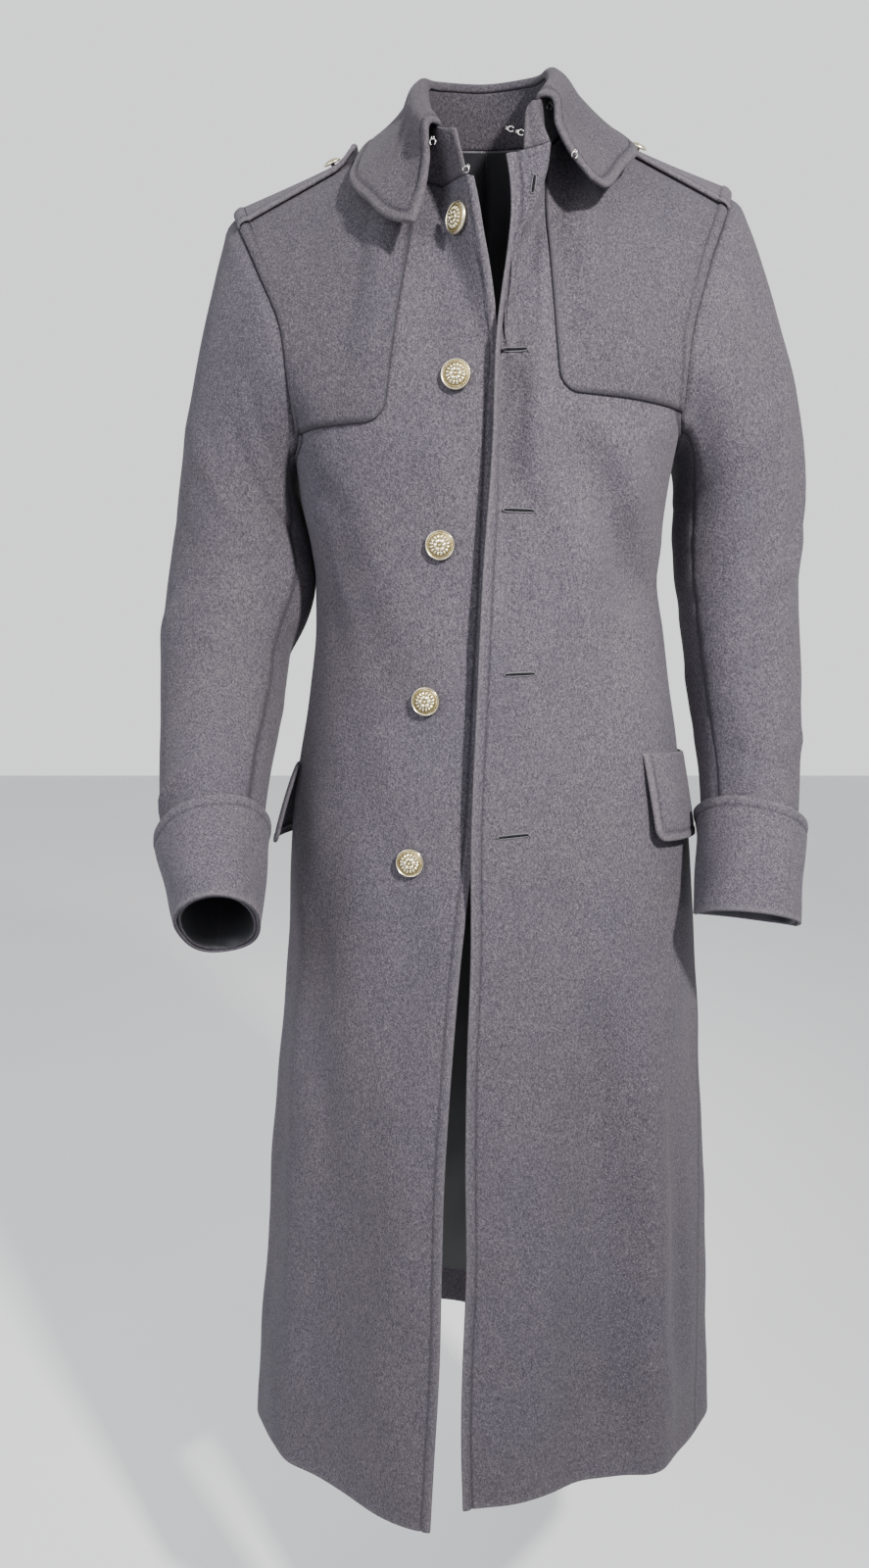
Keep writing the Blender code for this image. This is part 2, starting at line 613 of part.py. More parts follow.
def back_upper(side, u, v):
    """Back panel from the blade line (v 0) to the back neck and shoulder seam (v 1)."""
    sign = SIDES[side]
    ones = np.ones_like(u)
    base = back_scoop(side, u, ones)
    share = np.clip(u / BACK_NECK_SHARE, 0.0, 1.0)
    low_neck = np.array(BACK_NECK)
    neck_point = np.array(NECK_POINT[side])
    quarter = 0.5 * math.pi * share
    neck = low_neck + (neck_point - low_neck) * np.stack(
        [np.sin(quarter), 1.0 - np.cos(quarter), 1.0 - np.cos(quarter)], axis=-1)
    seam = shoulder_point(side, np.clip((u - BACK_NECK_SHARE) / (1.0 - BACK_NECK_SHARE), 0.0, 1.0))
    top = np.where((u < BACK_NECK_SHARE)[..., None], neck, seam)
    crossing = -np.array(SHOULDER_CROSSING) * np.array((sign, 1.0, 1.0))
    centre = np.array((0.0, -0.45, 0.89))
    blend = ramp(u / (BACK_NECK_SHARE * 1.3))[..., None]
    arrive = unit(mix(centre, crossing, blend))

    def columns(u_at, base_at, top_at, arrive_at):
        reach = np.linalg.norm(top_at - base_at, axis=-1)[..., None]
        leave = upward(back_scoop, side, u_at) * BACK_PULL[0]
        return hermite(base_at, leave * reach, top_at, arrive_at * BACK_PULL[1] * reach, v)

    free = columns(u, base, top, arrive)
    end_base = back_scoop(side, ones, ones)
    end_top = ones[..., None] * np.array(SHOULDER_TIP[side])
    end = columns(ones, end_base, end_top, ones[..., None] * unit(crossing))
    pull = (np.maximum(u, 0.0) ** ARM_PULL)[..., None]
    return free + (armhole_point(side, "back", v) - end) * pull


def lay(surface, side, across, up):
    """Evaluate a surface on a grid: rows go up, columns go across."""
    u, v = np.meshgrid(across, up)
    return surface(side, u, v)


def stack(*grids):
    """Join grids one above the other, each sharing its first row with the last of the one below."""
    rows = [grids[0]] + [grid[1:] for grid in grids[1:]]
    return np.concatenate(rows, axis=0)


def skin_normals(grid, middle, left_out=(), closed=False):
    """Normals of a grid's triangles gathered at its points, facing away from the middle."""
    around = np.concatenate([grid, grid[:, :1]], axis=1) if closed else grid
    low, high = around[:-1], around[1:]
    first = np.cross(low[:, 1:] - low[:, :-1], high[:, :-1] - low[:, :-1])
    second = np.cross(high[:, 1:] - low[:, 1:], high[:, :-1] - low[:, 1:])
    for i, j in left_out:
        first[i, j] = 0.0
        second[i, j] = 0.0
    total = np.zeros_like(around)
    total[:-1, :-1] += first
    total[:-1, 1:] += first + second
    total[1:, :-1] += first + second
    total[1:, 1:] += second
    if closed:
        total[:, 0] += total[:, -1]
        total = total[:, :-1]
    found = unit(total)
    return found * (1.0 if np.sum(found * (grid - middle)) > 0.0 else -1.0)


def ease(grid, edge, amount):
    """Draw one edge of a grid back along the surface."""
    moved = grid.copy()
    pairs = {"top": ((-1,), (-2,)), "bottom": ((0,), (1,)),
             "first": ((slice(None), 0), (slice(None), 1)), "last": ((slice(None), -1), (slice(None), -2))}
    here, inner = pairs[edge]
    moved[here] = grid[here] + unit(grid[inner] - grid[here]) * amount
    return moved


# Colours are linear base colours with roughness and metallic value
CLOTH_LOOK = ((0.155, 0.137, 0.160), 0.92, 0.0)
YOKE_LOOK = ((0.165, 0.146, 0.170), 0.92, 0.0)
COLLAR_LOOK = ((0.175, 0.155, 0.175), 0.90, 0.0)
METAL_LOOK = ((0.80, 0.72, 0.55), 0.28, 1.0)


def material(name, look):
    """Make one Principled material."""
    made = bpy.data.materials.new(name)
    made.use_nodes = True
    shader = made.node_tree.nodes["Principled BSDF"]
    colour, roughness, metallic = look
    shader.inputs["Base Color"].default_value = (*colour, 1.0)
    shader.inputs["Roughness"].default_value = roughness
    shader.inputs["Metallic"].default_value = metallic
    return made


def place(name, mesh, look):
    """Put a finished mesh into the scene as a smooth-shaded object with its own material."""
    mesh.shade_smooth()
    mesh.set_sharp_from_angle(angle=math.radians(SHARP_ANGLE))
    made = bpy.data.objects.new(name, mesh)
    made.data.materials.append(material(name + "_finish", look))
    bpy.context.scene.collection.objects.link(made)
    return made


def wall(name, outer, inner, look, closed=False, left_out=(), cut_corner=None):
    """Close the space between an outer and an inner grid of points as one solid.

    left_out lists cells that are not made; cut_corner gives one cell that keeps only the
    triangle away from its first corner. Every cell is split along the same diagonal.
    """
    rows, columns = outer.shape[:2]
    bm = bmesh.new()
    skins = [[[bm.verts.new(grid[i, j]) for j in range(columns)] for i in range(rows)]
             for grid in (outer, inner)]
    used = set()

    def face(points):
        bm.faces.new([skins[0][i][j] for i, j in points])
        bm.faces.new([skins[1][i][j] for i, j in points[::-1]])
        used.update(zip(points, points[1:] + points[:1]))

    for i in range(rows - 1):
        for j in range(columns if closed else columns - 1):
            if (i, j) in left_out:
                continue
            k = (j + 1) % columns
            if (i, j) != cut_corner:
                face([(i, j), (i, k), (i + 1, j)])
            face([(i, k), (i + 1, k), (i + 1, j)])
    for start, end in sorted(used):
        if (end, start) not in used:
            bm.faces.new([skins[0][end[0]][end[1]], skins[0][start[0]][start[1]],
                          skins[1][start[0]][start[1]], skins[1][end[0]][end[1]]])
    loose = [vert for vert in bm.verts if not vert.link_faces]
    bmesh.ops.delete(bm, geom=loose, context="VERTS")
    bmesh.ops.triangulate(bm, faces=bm.faces[:])
    if bm.calc_volume(signed=True) < 0.0:
        bmesh.ops.reverse_faces(bm, faces=bm.faces[:])
    mesh = bpy.data.meshes.new(name)
    bm.to_mesh(mesh)
    bm.free()
    return place(name, mesh, look)


def front_columns():
    """Where a front's columns lie: the throat, the neck and the shoulder."""
    throat = [YOKE_SHARE * stop for stop in THROAT_STOPS]
    neck = [mix(YOKE_SHARE, NECK_SHARE, (k + 1) / NECK_CELLS) for k in range(NECK_CELLS)]
    return np.array(throat + neck + [mix(NECK_SHARE, 1.0, stop) for stop in SHOULDER_STOPS])


def back_columns():
    """Where a back's columns lie, from under the vent to the shoulder tip."""
    neck = [BACK_NECK_SHARE * k / NECK_CELLS for k in range(NECK_CELLS + 1)]
    return np.array([VENT_UNDER] + neck + [mix(BACK_NECK_SHARE, 1.0, stop) for stop in SHOULDER_STOPS])


def panels(surfaces, columns, left_out):
    """Lay three surfaces as one grid for each side, with normals."""
    lower, scoop, upper = surfaces
    made = {}
    for side in SIDES:
        grid = stack(lay(lower, side, columns, np.linspace(0.0, 1.0, LOWER_ROWS + 1)),
                     lay(scoop, side, columns, np.linspace(0.0, 1.0, SCOOP_ROWS + 1)),
                     lay(upper, side, columns, np.array((0.0,) + YOKE_STOPS)))
        normal = skin_normals(grid, grid * np.array((0.0, 0.0, 1.0)), left_out[side])
        made[side] = {"grid": grid, "normal": normal, "left_out": left_out[side]}
    return made


def front_panels():
    """Both fronts as grids."""
    return panels((front_lower, front_scoop, front_upper), front_columns(), {"right": (), "left": ()})


def back_panels():
    """Both backs as grids; only the right one runs on under the other, below the vent's top."""
    rows = LOWER_ROWS + SCOOP_ROWS + len(YOKE_STOPS)
    above = {(i, 0) for i in range(VENT_TOP_ROW - 1, rows)}
    every = {(i, 0) for i in range(rows)}
    return panels((back_lower, back_scoop, back_upper), back_columns(), {"right": above, "left": every})


def sleeve_rings(side, body_ring):
    """Grid of a whole sleeve: rows from the armhole to the wrist, columns round the arm."""
    sign = SIDES[side]
    rows = np.array(SLEEVE[side])
    count = len(body_ring)
    centres = rows[:, :3]
    along = unit(np.gradient(centres, axis=0))
    turn = 2.0 * math.pi * np.arange(count) / count
    rings = []
    for centre, direction, size in zip(centres, along, rows[:, 3:]):
        across = unit(np.array((1.0, 0.0, 0.0)) - direction * direction[0])
        ahead = unit(np.cross(direction, across))
        ahead = ahead * (-1.0 if ahead[1] > 0.0 else 1.0)
        ringed = (centre + np.cos(turn)[:, None] * across * sign * size[0]
                  + np.sin(turn)[:, None] * ahead * size[1])
        rings.append(ringed)
    rings = np.array(rings)
    outward, down, pull = CAP[side]
    under_outward, under_pull = CAP_UNDER
    level_outward, level_ahead = CAP_LEVEL
    top = 0.5 + 0.5 * np.cos(turn)[:, None]
    high = top ** 1.5
    level = np.abs(np.sin(turn))[:, None]
    leave = high * np.array((outward * sign, 0.0, down))
    leave = leave + (1.0 - high) * np.array((under_outward * sign, 0.0, 0.0))
    flat = 0.0 * turn
    leave = leave + level * np.stack([flat + level_outward * sign, -level_ahead * np.sin(turn), flat], axis=-1)
    arrive = along[0] * (pull * top + under_pull * (1.0 - top))
    shares = [np.full(count, row / CAP_ROWS) for row in range(CAP_ROWS)]
    cap = [hermite(body_ring, leave, rings[0], arrive, share) for share in shares]
    return np.array(cap + list(rings))


def armhole_ring(fronts, backs, side, field):
    """The armhole's values from the shoulder tip down the front, round and up the back."""
    front = fronts[side][field][LOWER_ROWS:, -1][::-1]
    back = backs[side][field][LOWER_ROWS:, -1]
    return np.concatenate([front, back[1:-1]], axis=0)


def share_normals(fronts, backs):
    """Give pieces that meet at a seam the same normals there, so that their cut faces match."""
    front_shoulder = slice(len(THROAT_STOPS) - 1 + NECK_CELLS, None)
    back_shoulder = slice(1 + NECK_CELLS, None)
    for side in SIDES:
        front, back = fronts[side]["normal"], backs[side]["normal"]
        front[-1, front_shoulder] = unit(front[-1, front_shoulder] + back[-1, back_shoulder])
        back[-1, back_shoulder] = front[-1, front_shoulder]
        front[:LOWER_ROWS + 1, -1] = unit(front[:LOWER_ROWS + 1, -1] + back[:LOWER_ROWS + 1, -1])
        back[:LOWER_ROWS + 1, -1] = front[:LOWER_ROWS + 1, -1]
    closed = slice(VENT_TOP_ROW, None)
    left, right = backs["left"]["normal"], backs["right"]["normal"]
    left[closed, 1] = unit(left[closed, 1] + right[closed, 1])
    right[closed, 1] = left[closed, 1]


def make_sleeves(fronts, backs):
    """Two-piece sleeves with their cuffs."""
    front_rows = SCOOP_ROWS + len(YOKE_STOPS) + 1
    for side in SIDES:
        grid = sleeve_rings(side, armhole_ring(fronts, backs, side, "grid"))
        normal = skin_normals(grid, grid.mean(axis=1, keepdims=True), closed=True)
        shared = unit(normal[0] + armhole_ring(fronts, backs, side, "normal"))
        normal[0] = shared
        fronts[side]["normal"][LOWER_ROWS:, -1] = shared[:front_rows][::-1]
        backs[side]["normal"][LOWER_ROWS:, -1] = np.concatenate([shared[front_rows - 1:], shared[:1]])
        grid = ease(grid, "bottom", HEAD_EASE)
        count = grid.shape[1]
        top = list(range(HIND_SLEEVE_SEAM, count)) + list(range(0, FRONT_SLEEVE_SEAM + 1))
        under = list(range(FRONT_SLEEVE_SEAM, HIND_SLEEVE_SEAM + 1))
        for label, picks in (("topsleeve", top), ("undersleeve", under)):
            outer = ease(ease(grid[:, picks], "first", GAP), "last", GAP)
            wall(label + "_" + side, outer, outer - normal[:, picks] * WALL, CLOTH_LOOK)
        make_cuff(side, grid)


def make_cuff(side, grid):
    """The turned-back cuff, from the sleeve's own rings moved out."""
    length, slant, at_top, at_rim = CUFF[side]
    steps = np.linalg.norm(np.diff(grid.mean(axis=1), axis=0), axis=1)
    from_end = np.concatenate([np.cumsum(steps[::-1])[::-1], [0.0]])
    order = np.argsort(from_end)
    turn = 2.0 * math.pi * np.arange(grid.shape[1]) / grid.shape[1]
    beyond = unit(grid[-1].mean(axis=0) - grid[-2].mean(axis=0))
    outer = []
    for share in np.linspace(1.0, 0.0, CUFF_ROWS):
        stops = share * length * (1.0 - slant * np.cos(turn))
        ringed = np.array([[np.interp(stop, from_end[order], grid[order, k, axis]) for axis in range(3)]
                           for k, stop in enumerate(stops)])
        lift = DOUBLED_WALL + CUFF_CLEAR + mix(at_rim, at_top, share)
        ringed = ringed + unit(ringed - ringed.mean(axis=0)) * lift
        outer.append(ringed + beyond * (RIM_PAST_SLEEVE if share == 0.0 else 0.0))
    outer = np.array(outer)
    inner = outer - unit(outer - outer.mean(axis=1, keepdims=True)) * DOUBLED_WALL
    wall("cuff_" + side, outer, inner, COLLAR_LOOK, closed=True)


def make_body(fronts, backs):
    """Fronts, backs and yokes."""
    for side in SIDES:
        front, back = fronts[side], backs[side]
        outer = ease(ease(front["grid"], "last", SEAM_EASE), "top", SEAM_EASE)
        wall("front_" + side, outer, outer - front["normal"] * WALL, CLOTH_LOOK)
        outer = ease(ease(back["grid"], "last", SEAM_EASE), "top", SEAM_EASE)
        closed = slice(VENT_TOP_ROW, None)
        outer[closed, 1:] = ease(outer[closed, 1:], "first", SEAM_EASE)
        wall("back_" + side, outer, outer - back["normal"] * WALL, CLOTH_LOOK, left_out=back["left_out"])
        part = (slice(LOWER_ROWS + SCOOP_ROWS, None), slice(len(THROAT_STOPS) - 1, None))
        points, out = front["grid"][part], front["normal"][part]
        points = ease(ease(points, "last", YOKE_EASE[0]), "top", YOKE_EASE[1])
        lift = np.full(points.shape[:2] + (1,), SKIN_GAP)
        lift[-1] = NECK_EDGE_LIFT
        wall("chest_yoke_" + side, points + out * (SKIN_GAP + WALL), points + out * lift, YOKE_LOOK,
             cut_corner=(0, 0))


def neck_line(fronts, backs):
    """Points of the whole neckline, from the right front round to the left front."""
    last = len(THROAT_STOPS) - 1 + NECK_CELLS
    points = [fronts["right"]["grid"][-1, 1:last + 1],
              backs["right"]["grid"][-1, 1:1 + NECK_CELLS][::-1],
              backs["left"]["grid"][-1, 2:1 + NECK_CELLS],
              fronts["left"]["grid"][-1, 1:last + 1][::-1]]
    return np.concatenate(points, axis=0)


def make_collar(fronts, backs):
    """The stand round the neck and the leaf that rolls over it."""
    bottom = neck_line(fronts, backs)
    steps = np.linalg.norm(np.diff(bottom, axis=0), axis=1)
    around = np.concatenate([[0.0], np.cumsum(steps)])
    top = curve(STAND_TOP, around / around[-1])
    low = bottom + unit(top - bottom) * COLLAR_EASE
    stand = np.array([mix(low, top, t) for t in STAND_ROWS])
    level = np.array((0.0, 0.0, 1.0))
    out = unit(skin_normals(stand, stand * level) * np.array((1.0, 1.0, 0.15)))
    wall("collar_stand", stand, stand - out * WALL, COLLAR_LOOK)
    turns = np.linspace(LEAF_EDGE[0][0], LEAF_EDGE[-1][0], LEAF_COLUMNS)
    edge, top = curve(LEAF_EDGE, turns), curve(STAND_TOP, turns)
    outward = unit((edge - top) * np.array((1.0, 1.0, 0.0)))
    start = top - outward * ROLL_INSET + level * COLLAR_EASE
    knots = [start + outward * out_by + level * up_by for out_by, up_by in ROLL]
    last = knots[-1]
    for share in LEAF_ROWS:
        knots.append(mix(last, edge, share) - outward * HOLLOW * math.sin(math.pi * share))
    fall = np.array(knots)
    out = skin_normals(fall, fall * level)
    wall("collar_fall", fall + out * COLLAR_WALL, fall, COLLAR_LOOK)


def make_flaps():
    """Both pocket flaps, which stand away from the skirt towards their lower edge."""
    for side, sizes in FLAPS.items():
        turns = np.linspace(*sizes["angles"], FLAP_COLUMNS)
        tops = np.linspace(*sizes["top"], FLAP_COLUMNS)
        stand = np.linspace(*sizes["stand"], FLAP_COLUMNS)[:, None]
        rows = []
        for t in np.linspace(0.0, 1.0, FLAP_ROWS):
            point = ring(turns, tops - sizes["depth"] * t)
            rows.append(point + flat_out(point) * (FLAP_CLEAR + DOUBLED_WALL + stand * t ** 0.7))
        outer = np.array(rows)
        wall("pocket_flap_" + side, outer, outer - flat_out(outer) * DOUBLED_WALL, COLLAR_LOOK)


def strap_grid(fronts, backs, side, field):
    """Rows over the shoulder seam under a strap, from the front round to the back."""
    first = NECK_CELLS + STRAP[side][0]
    front = fronts[side][field][-3:, len(THROAT_STOPS) - 1 + first:]
    back = backs[side][field][-3:-1, 1 + first:]
    return np.concatenate([front, back[::-1]], axis=0)


def make_straps(fronts, backs):
    """Shoulder straps and their buttons, from the points of the panels under them, moved out."""
    low = SKIN_GAP * 2.0 + WALL
    for side in SIDES:
        _, tip_rise, row, share = STRAP[side]
        points = ease(strap_grid(fronts, backs, side, "grid"), "last", STRAP_END_EASE)
        out = strap_grid(fronts, backs, side, "normal")
        points[:, 0] += np.array((0.0, 0.0, tip_rise))
        wall("shoulder_strap_" + side, points + out * (low + DOUBLED_WALL), points + out * low, COLLAR_LOOK)
        normal = unit(mix(out[row, 1], out[row, 2], share))
        centre = mix(points[row, 1], points[row, 2], share)
        centre = centre + normal * (low + DOUBLED_WALL + STRAP_BUTTON_SEAT)
        turned("strap_button_" + side, button_profile(STRAP_BUTTON_RADIUS), 16, centre, normal, METAL_LOOK)


def turned(name, profile, segments, centre, axis, look):
    """Spin a profile of (radius, height) round an axis; the first and last point lie on it."""
    axis = unit(np.asarray(axis, float))
    across = unit(np.cross(axis, np.array((0.0, 0.0, 1.0))))
    beside = np.cross(axis, across)
    bm = bmesh.new()
    rows = []
    for radius, height in profile[1:-1]:
        turns = [2.0 * math.pi * k / segments for k in range(segments)]
        spokes = [math.cos(turn) * across + math.sin(turn) * beside for turn in turns]
        rows.append([bm.verts.new(centre + axis * height + radius * spoke) for spoke in spokes])
    low = bm.verts.new(centre + axis * profile[0][1])
    high = bm.verts.new(centre + axis * profile[-1][1])
    for k in range(segments):
        following = (k + 1) % segments
        bm.faces.new((low, rows[0][following], rows[0][k]))
        bm.faces.new((high, rows[-1][k], rows[-1][following]))
        for lower, upper in zip(rows, rows[1:]):
            bm.faces.new((lower[k], lower[following], upper[following], upper[k]))
    bmesh.ops.recalc_face_normals(bm, faces=bm.faces[:])
    mesh = bpy.data.meshes.new(name)
    bm.to_mesh(mesh)
    bm.free()
    return place(name, mesh, look)


def button_profile(radius):
    """Domed button on a short shank: pairs of radius and height above the cloth."""
    rows = ((0.00, 0.00), (0.20, 0.00), (0.20, 0.00), (0.80, 0.03), (1.00, 0.12), (0.97, 0.20), (0.72, 0.38),
            (0.36, 0.48), (0.00, 0.52))
    return [(radius * out, radius * up + (BUTTON_LIFT if number > 1 else GAP))
            for number, (out, up) in enumerate(rows)]


def seat(panel, across, height):
    """Point and normal on a panel's facets at the given across and height."""
    grid, normal = panel["grid"], panel["normal"]
    wanted = np.array((across, height))
    for i in range(grid.shape[0] - 1):
        for j in range(grid.shape[1] - 1):
            for corners in (((i, j), (i, j + 1), (i + 1, j)), ((i, j + 1), (i + 1, j + 1), (i + 1, j))):
                a, b, c = (grid[corner] for corner in corners)
                flat = np.column_stack([(b - a)[[0, 2]], (c - a)[[0, 2]]])
                if abs(np.linalg.det(flat)) < 1e-12:
                    continue
                s, t = np.linalg.solve(flat, wanted - a[[0, 2]])
                if min(s, t, 1.0 - s - t) >= 0.0:
                    first, second, third = (normal[corner] for corner in corners)
                    out = unit(first + s * (second - first) + t * (third - first))
                    return a + s * (b - a) + t * (c - a), out
    raise ValueError("no cloth there")


def make_buttons(fronts):
    """Five front buttons."""
    for number, (height, across) in enumerate(BUTTONS, start=1):
        point, normal = seat(fronts["right"], across, height)
        turned("front_button_%d" % number, button_profile(BUTTON_RADIUS), 20,
               point + normal * BUTTON_SEAT, normal, METAL_LOOK)


def build():
    """Clear the scene and make every piece."""
    for existing in list(bpy.data.objects):
        bpy.data.objects.remove(existing, do_unlink=True)
    fronts, backs = front_panels(), back_panels()
    share_normals(fronts, backs)
    make_sleeves(fronts, backs)
    make_body(fronts, backs)
    make_collar(fronts, backs)
    make_flaps()
    make_straps(fronts, backs)
    make_buttons(fronts)


build()
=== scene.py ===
"""Looks for the greatcoat: fine cloth shells with creases, stitching, buttons and studio."""

import json
import math

import bpy
import numpy as np
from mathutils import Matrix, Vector

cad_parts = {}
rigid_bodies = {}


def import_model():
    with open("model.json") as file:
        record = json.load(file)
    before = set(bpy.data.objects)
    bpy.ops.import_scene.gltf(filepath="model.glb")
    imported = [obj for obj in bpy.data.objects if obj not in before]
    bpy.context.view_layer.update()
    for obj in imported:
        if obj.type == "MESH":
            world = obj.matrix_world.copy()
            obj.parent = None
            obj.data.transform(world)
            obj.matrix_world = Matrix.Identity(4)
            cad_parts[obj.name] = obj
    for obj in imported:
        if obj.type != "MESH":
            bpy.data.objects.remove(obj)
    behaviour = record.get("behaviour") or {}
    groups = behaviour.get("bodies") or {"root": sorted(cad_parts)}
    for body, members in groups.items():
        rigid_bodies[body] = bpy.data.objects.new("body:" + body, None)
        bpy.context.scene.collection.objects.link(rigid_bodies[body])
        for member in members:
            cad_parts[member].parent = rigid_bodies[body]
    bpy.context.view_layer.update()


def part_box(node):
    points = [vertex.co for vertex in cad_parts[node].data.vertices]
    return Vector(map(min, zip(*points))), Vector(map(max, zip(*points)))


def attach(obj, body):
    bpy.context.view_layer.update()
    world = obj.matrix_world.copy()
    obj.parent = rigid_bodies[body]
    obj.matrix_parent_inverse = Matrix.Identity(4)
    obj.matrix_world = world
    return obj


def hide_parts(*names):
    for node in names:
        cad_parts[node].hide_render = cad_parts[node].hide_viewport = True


for existing in list(bpy.data.objects):
    bpy.data.objects.remove(existing, do_unlink=True)
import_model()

# Driving dimensions, in metres
WALL = 0.0024            # one layer of melton
COLLAR_WALL = 0.0040     # two layers and canvas
DOUBLED_WALL = 0.0034    # flaps, straps and cuffs, faced with the same cloth
GAP = 0.0003             # between two pieces that meet at a seam
SKIN_GAP = 0.0005        # between a panel and what is sewn flat on it
BUTTON_RADIUS = 0.0127
STRAP_BUTTON_RADIUS = 0.0085
SIDES = {"right": -1.0, "left": 1.0}

# The body as level rings: height, reach to the wearer's right and left, depth in front on the
# right half, in front on the left half and behind, and how squarely the ring swells between them
BODY = (
    (-1.300, -0.235, 0.244, 0.161, 0.152, 0.188, 0.000),
    (-1.200, -0.226, 0.237, 0.157, 0.150, 0.182, 0.010),
    (-1.050, -0.213, 0.228, 0.152, 0.148, 0.170, 0.025),
    (-0.900, -0.203, 0.216, 0.146, 0.144, 0.158, 0.035),
    (-0.750, -0.191, 0.208, 0.140, 0.140, 0.146, 0.040),
    (-0.650, -0.187, 0.200, 0.136, 0.137, 0.134, 0.040),
    (-0.560, -0.174, 0.187, 0.132, 0.133, 0.118, 0.040),
    (-0.500, -0.165, 0.177, 0.128, 0.130, 0.106, 0.045),
    (-0.430, -0.159, 0.165, 0.126, 0.128, 0.098, 0.050),
    (-0.370, -0.162, 0.160, 0.127, 0.129, 0.098, 0.060),
    (-0.320, -0.171, 0.166, 0.129, 0.131, 0.104, 0.080),
    (-0.280, -0.175, 0.172, 0.129, 0.131, 0.110, 0.100),
    (-0.230, -0.179, 0.178, 0.125, 0.127, 0.114, 0.115),
)

# The side seams as angles round the body from the front centre: height, right, left
SIDE_SEAMS = (
    (-1.300, 96.0, 64.0), (-1.050, 96.0, 68.0), (-0.850, 96.0, 75.0), (-0.600, 95.0, 80.0),
    (-0.430, 93.0, 85.0), (-0.280, 91.0, 89.0),
)

# The front edges: height, across, forward
FRONT_EDGE = {
    "right": (
        (-1.275, -0.052, -0.181), (-1.198, -0.048, -0.177), (-1.104, -0.043, -0.172),
        (-1.011, -0.041, -0.168), (-0.930, -0.039, -0.163), (-0.860, -0.035, -0.158),
        (-0.791, -0.030, -0.151), (-0.723, -0.024, -0.144), (-0.616, -0.012, -0.135),
        (-0.500, -0.006, -0.130), (-0.369, 0.000, -0.129), (-0.285, 0.003, -0.131), (-0.210, 0.004, -0.133),
        (-0.158, -0.002, -0.135), (-0.122, -0.009, -0.135), (-0.100, -0.013, -0.133),
        (-0.070, -0.020, -0.130),
    ),
    "left": (
        (-1.260, -0.020, -0.168), (-1.170, -0.022, -0.165), (-1.110, -0.021, -0.163),
        (-1.016, -0.018, -0.160), (-0.905, -0.019, -0.156), (-0.819, -0.018, -0.152),
        (-0.722, -0.015, -0.148), (-0.612, -0.015, -0.143), (-0.504, -0.011, -0.139),
        (-0.387, -0.006, -0.137), (-0.285, 0.001, -0.140), (-0.203, 0.004, -0.141), (-0.159, 0.009, -0.140),
        (-0.136, 0.012, -0.139), (-0.106, 0.014, -0.137), (-0.088, 0.013, -0.136), (-0.060, 0.008, -0.135),
    ),
}

# Heights that differ between the two halves, which hang a little unevenly
HEM = {"right": -1.265, "left": -1.252}
ARMPIT = {"right": -0.300, "left": -0.283}
EDGE_TOP = {"right": -0.083, "left": -0.069}
YOKE_LINE = {"right": (-0.269, -0.2735), "left": (-0.246, -0.2560)}   # at the corner, at the armhole
YOKE_ACROSS = {"right": -0.089, "left": 0.056}
FRONT_ARM_ANGLE = {"right": 61.0, "left": 58.0}   # where the yoke's lower edge meets the armhole
BACK_ARM_ANGLE = 120.0
BLADE_RISE = 0.040       # the back armhole's scoop above the armpit

# Neck point, shoulder seam and shoulder tip
NECK_POINT = {"right": (-0.074, 0.002, -0.012), "left": (0.079, 0.002, -0.004)}
SHOULDER_MIDDLE = {"right": (-0.150, 0.004, -0.045), "left": (0.150, 0.004, -0.0335)}
SHOULDER_TIP = {"right": (-0.2265, 0.002, -0.076), "left": (0.2175, 0.002, -0.060)}
SHOULDER_CROSSING = (0.06, 0.97, 0.10)       # direction from front to back over the seam
BACK_NECK = (0.002, 0.066, 0.000)

# The armhole above the yoke line: share of the way up, across, forward, height
FRONT_ARMHOLE = {
    "right": (
        (0.22, -0.1715, -0.088, -0.226), (0.42, -0.1770, -0.085, -0.187), (0.66, -0.1970, -0.062, -0.140),
        (0.86, -0.2150, -0.034, -0.101),
    ),
    "left": (
        (0.22, 0.1680, -0.089, -0.214), (0.42, 0.1740, -0.084, -0.178), (0.66, 0.1890, -0.061, -0.130),
        (0.86, 0.2060, -0.034, -0.087),
    ),
}
BACK_ARMHOLE = {
    "right": (
        (0.25, -0.1740, 0.070, -0.216), (0.50, -0.1830, 0.070, -0.166), (0.75, -0.2020, 0.050, -0.115),
    ),
    "left": (
        (0.25, 0.1710, 0.070, -0.200), (0.50, 0.1790, 0.070, -0.150), (0.75, 0.1960, 0.050, -0.099),
    ),
}

# The neckline between the yoke's seam and the neck point: share of the way, across, forward, height
NECKLINE = {
    "right": ((0.0, -0.057, -0.086, -0.073), (0.5, -0.069, -0.052, -0.040), (1.0, -0.074, 0.002, -0.012)),
    "left": ((0.0, 0.046, -0.084, -0.047), (0.5, 0.067, -0.050, -0.022), (1.0, 0.079, 0.002, -0.004)),
}
# The yoke's upright seam: share of the way up, across
YOKE_SEAM = {
    "right": ((0.0, -0.0890), (0.22, -0.0835), (0.39, -0.0785), (0.77, -0.0655), (1.0, -0.0570)),
    "left": ((0.0, 0.0560), (0.12, 0.0535), (0.25, 0.0505), (0.47, 0.0465), (0.78, 0.0430), (1.0, 0.0460)),
}

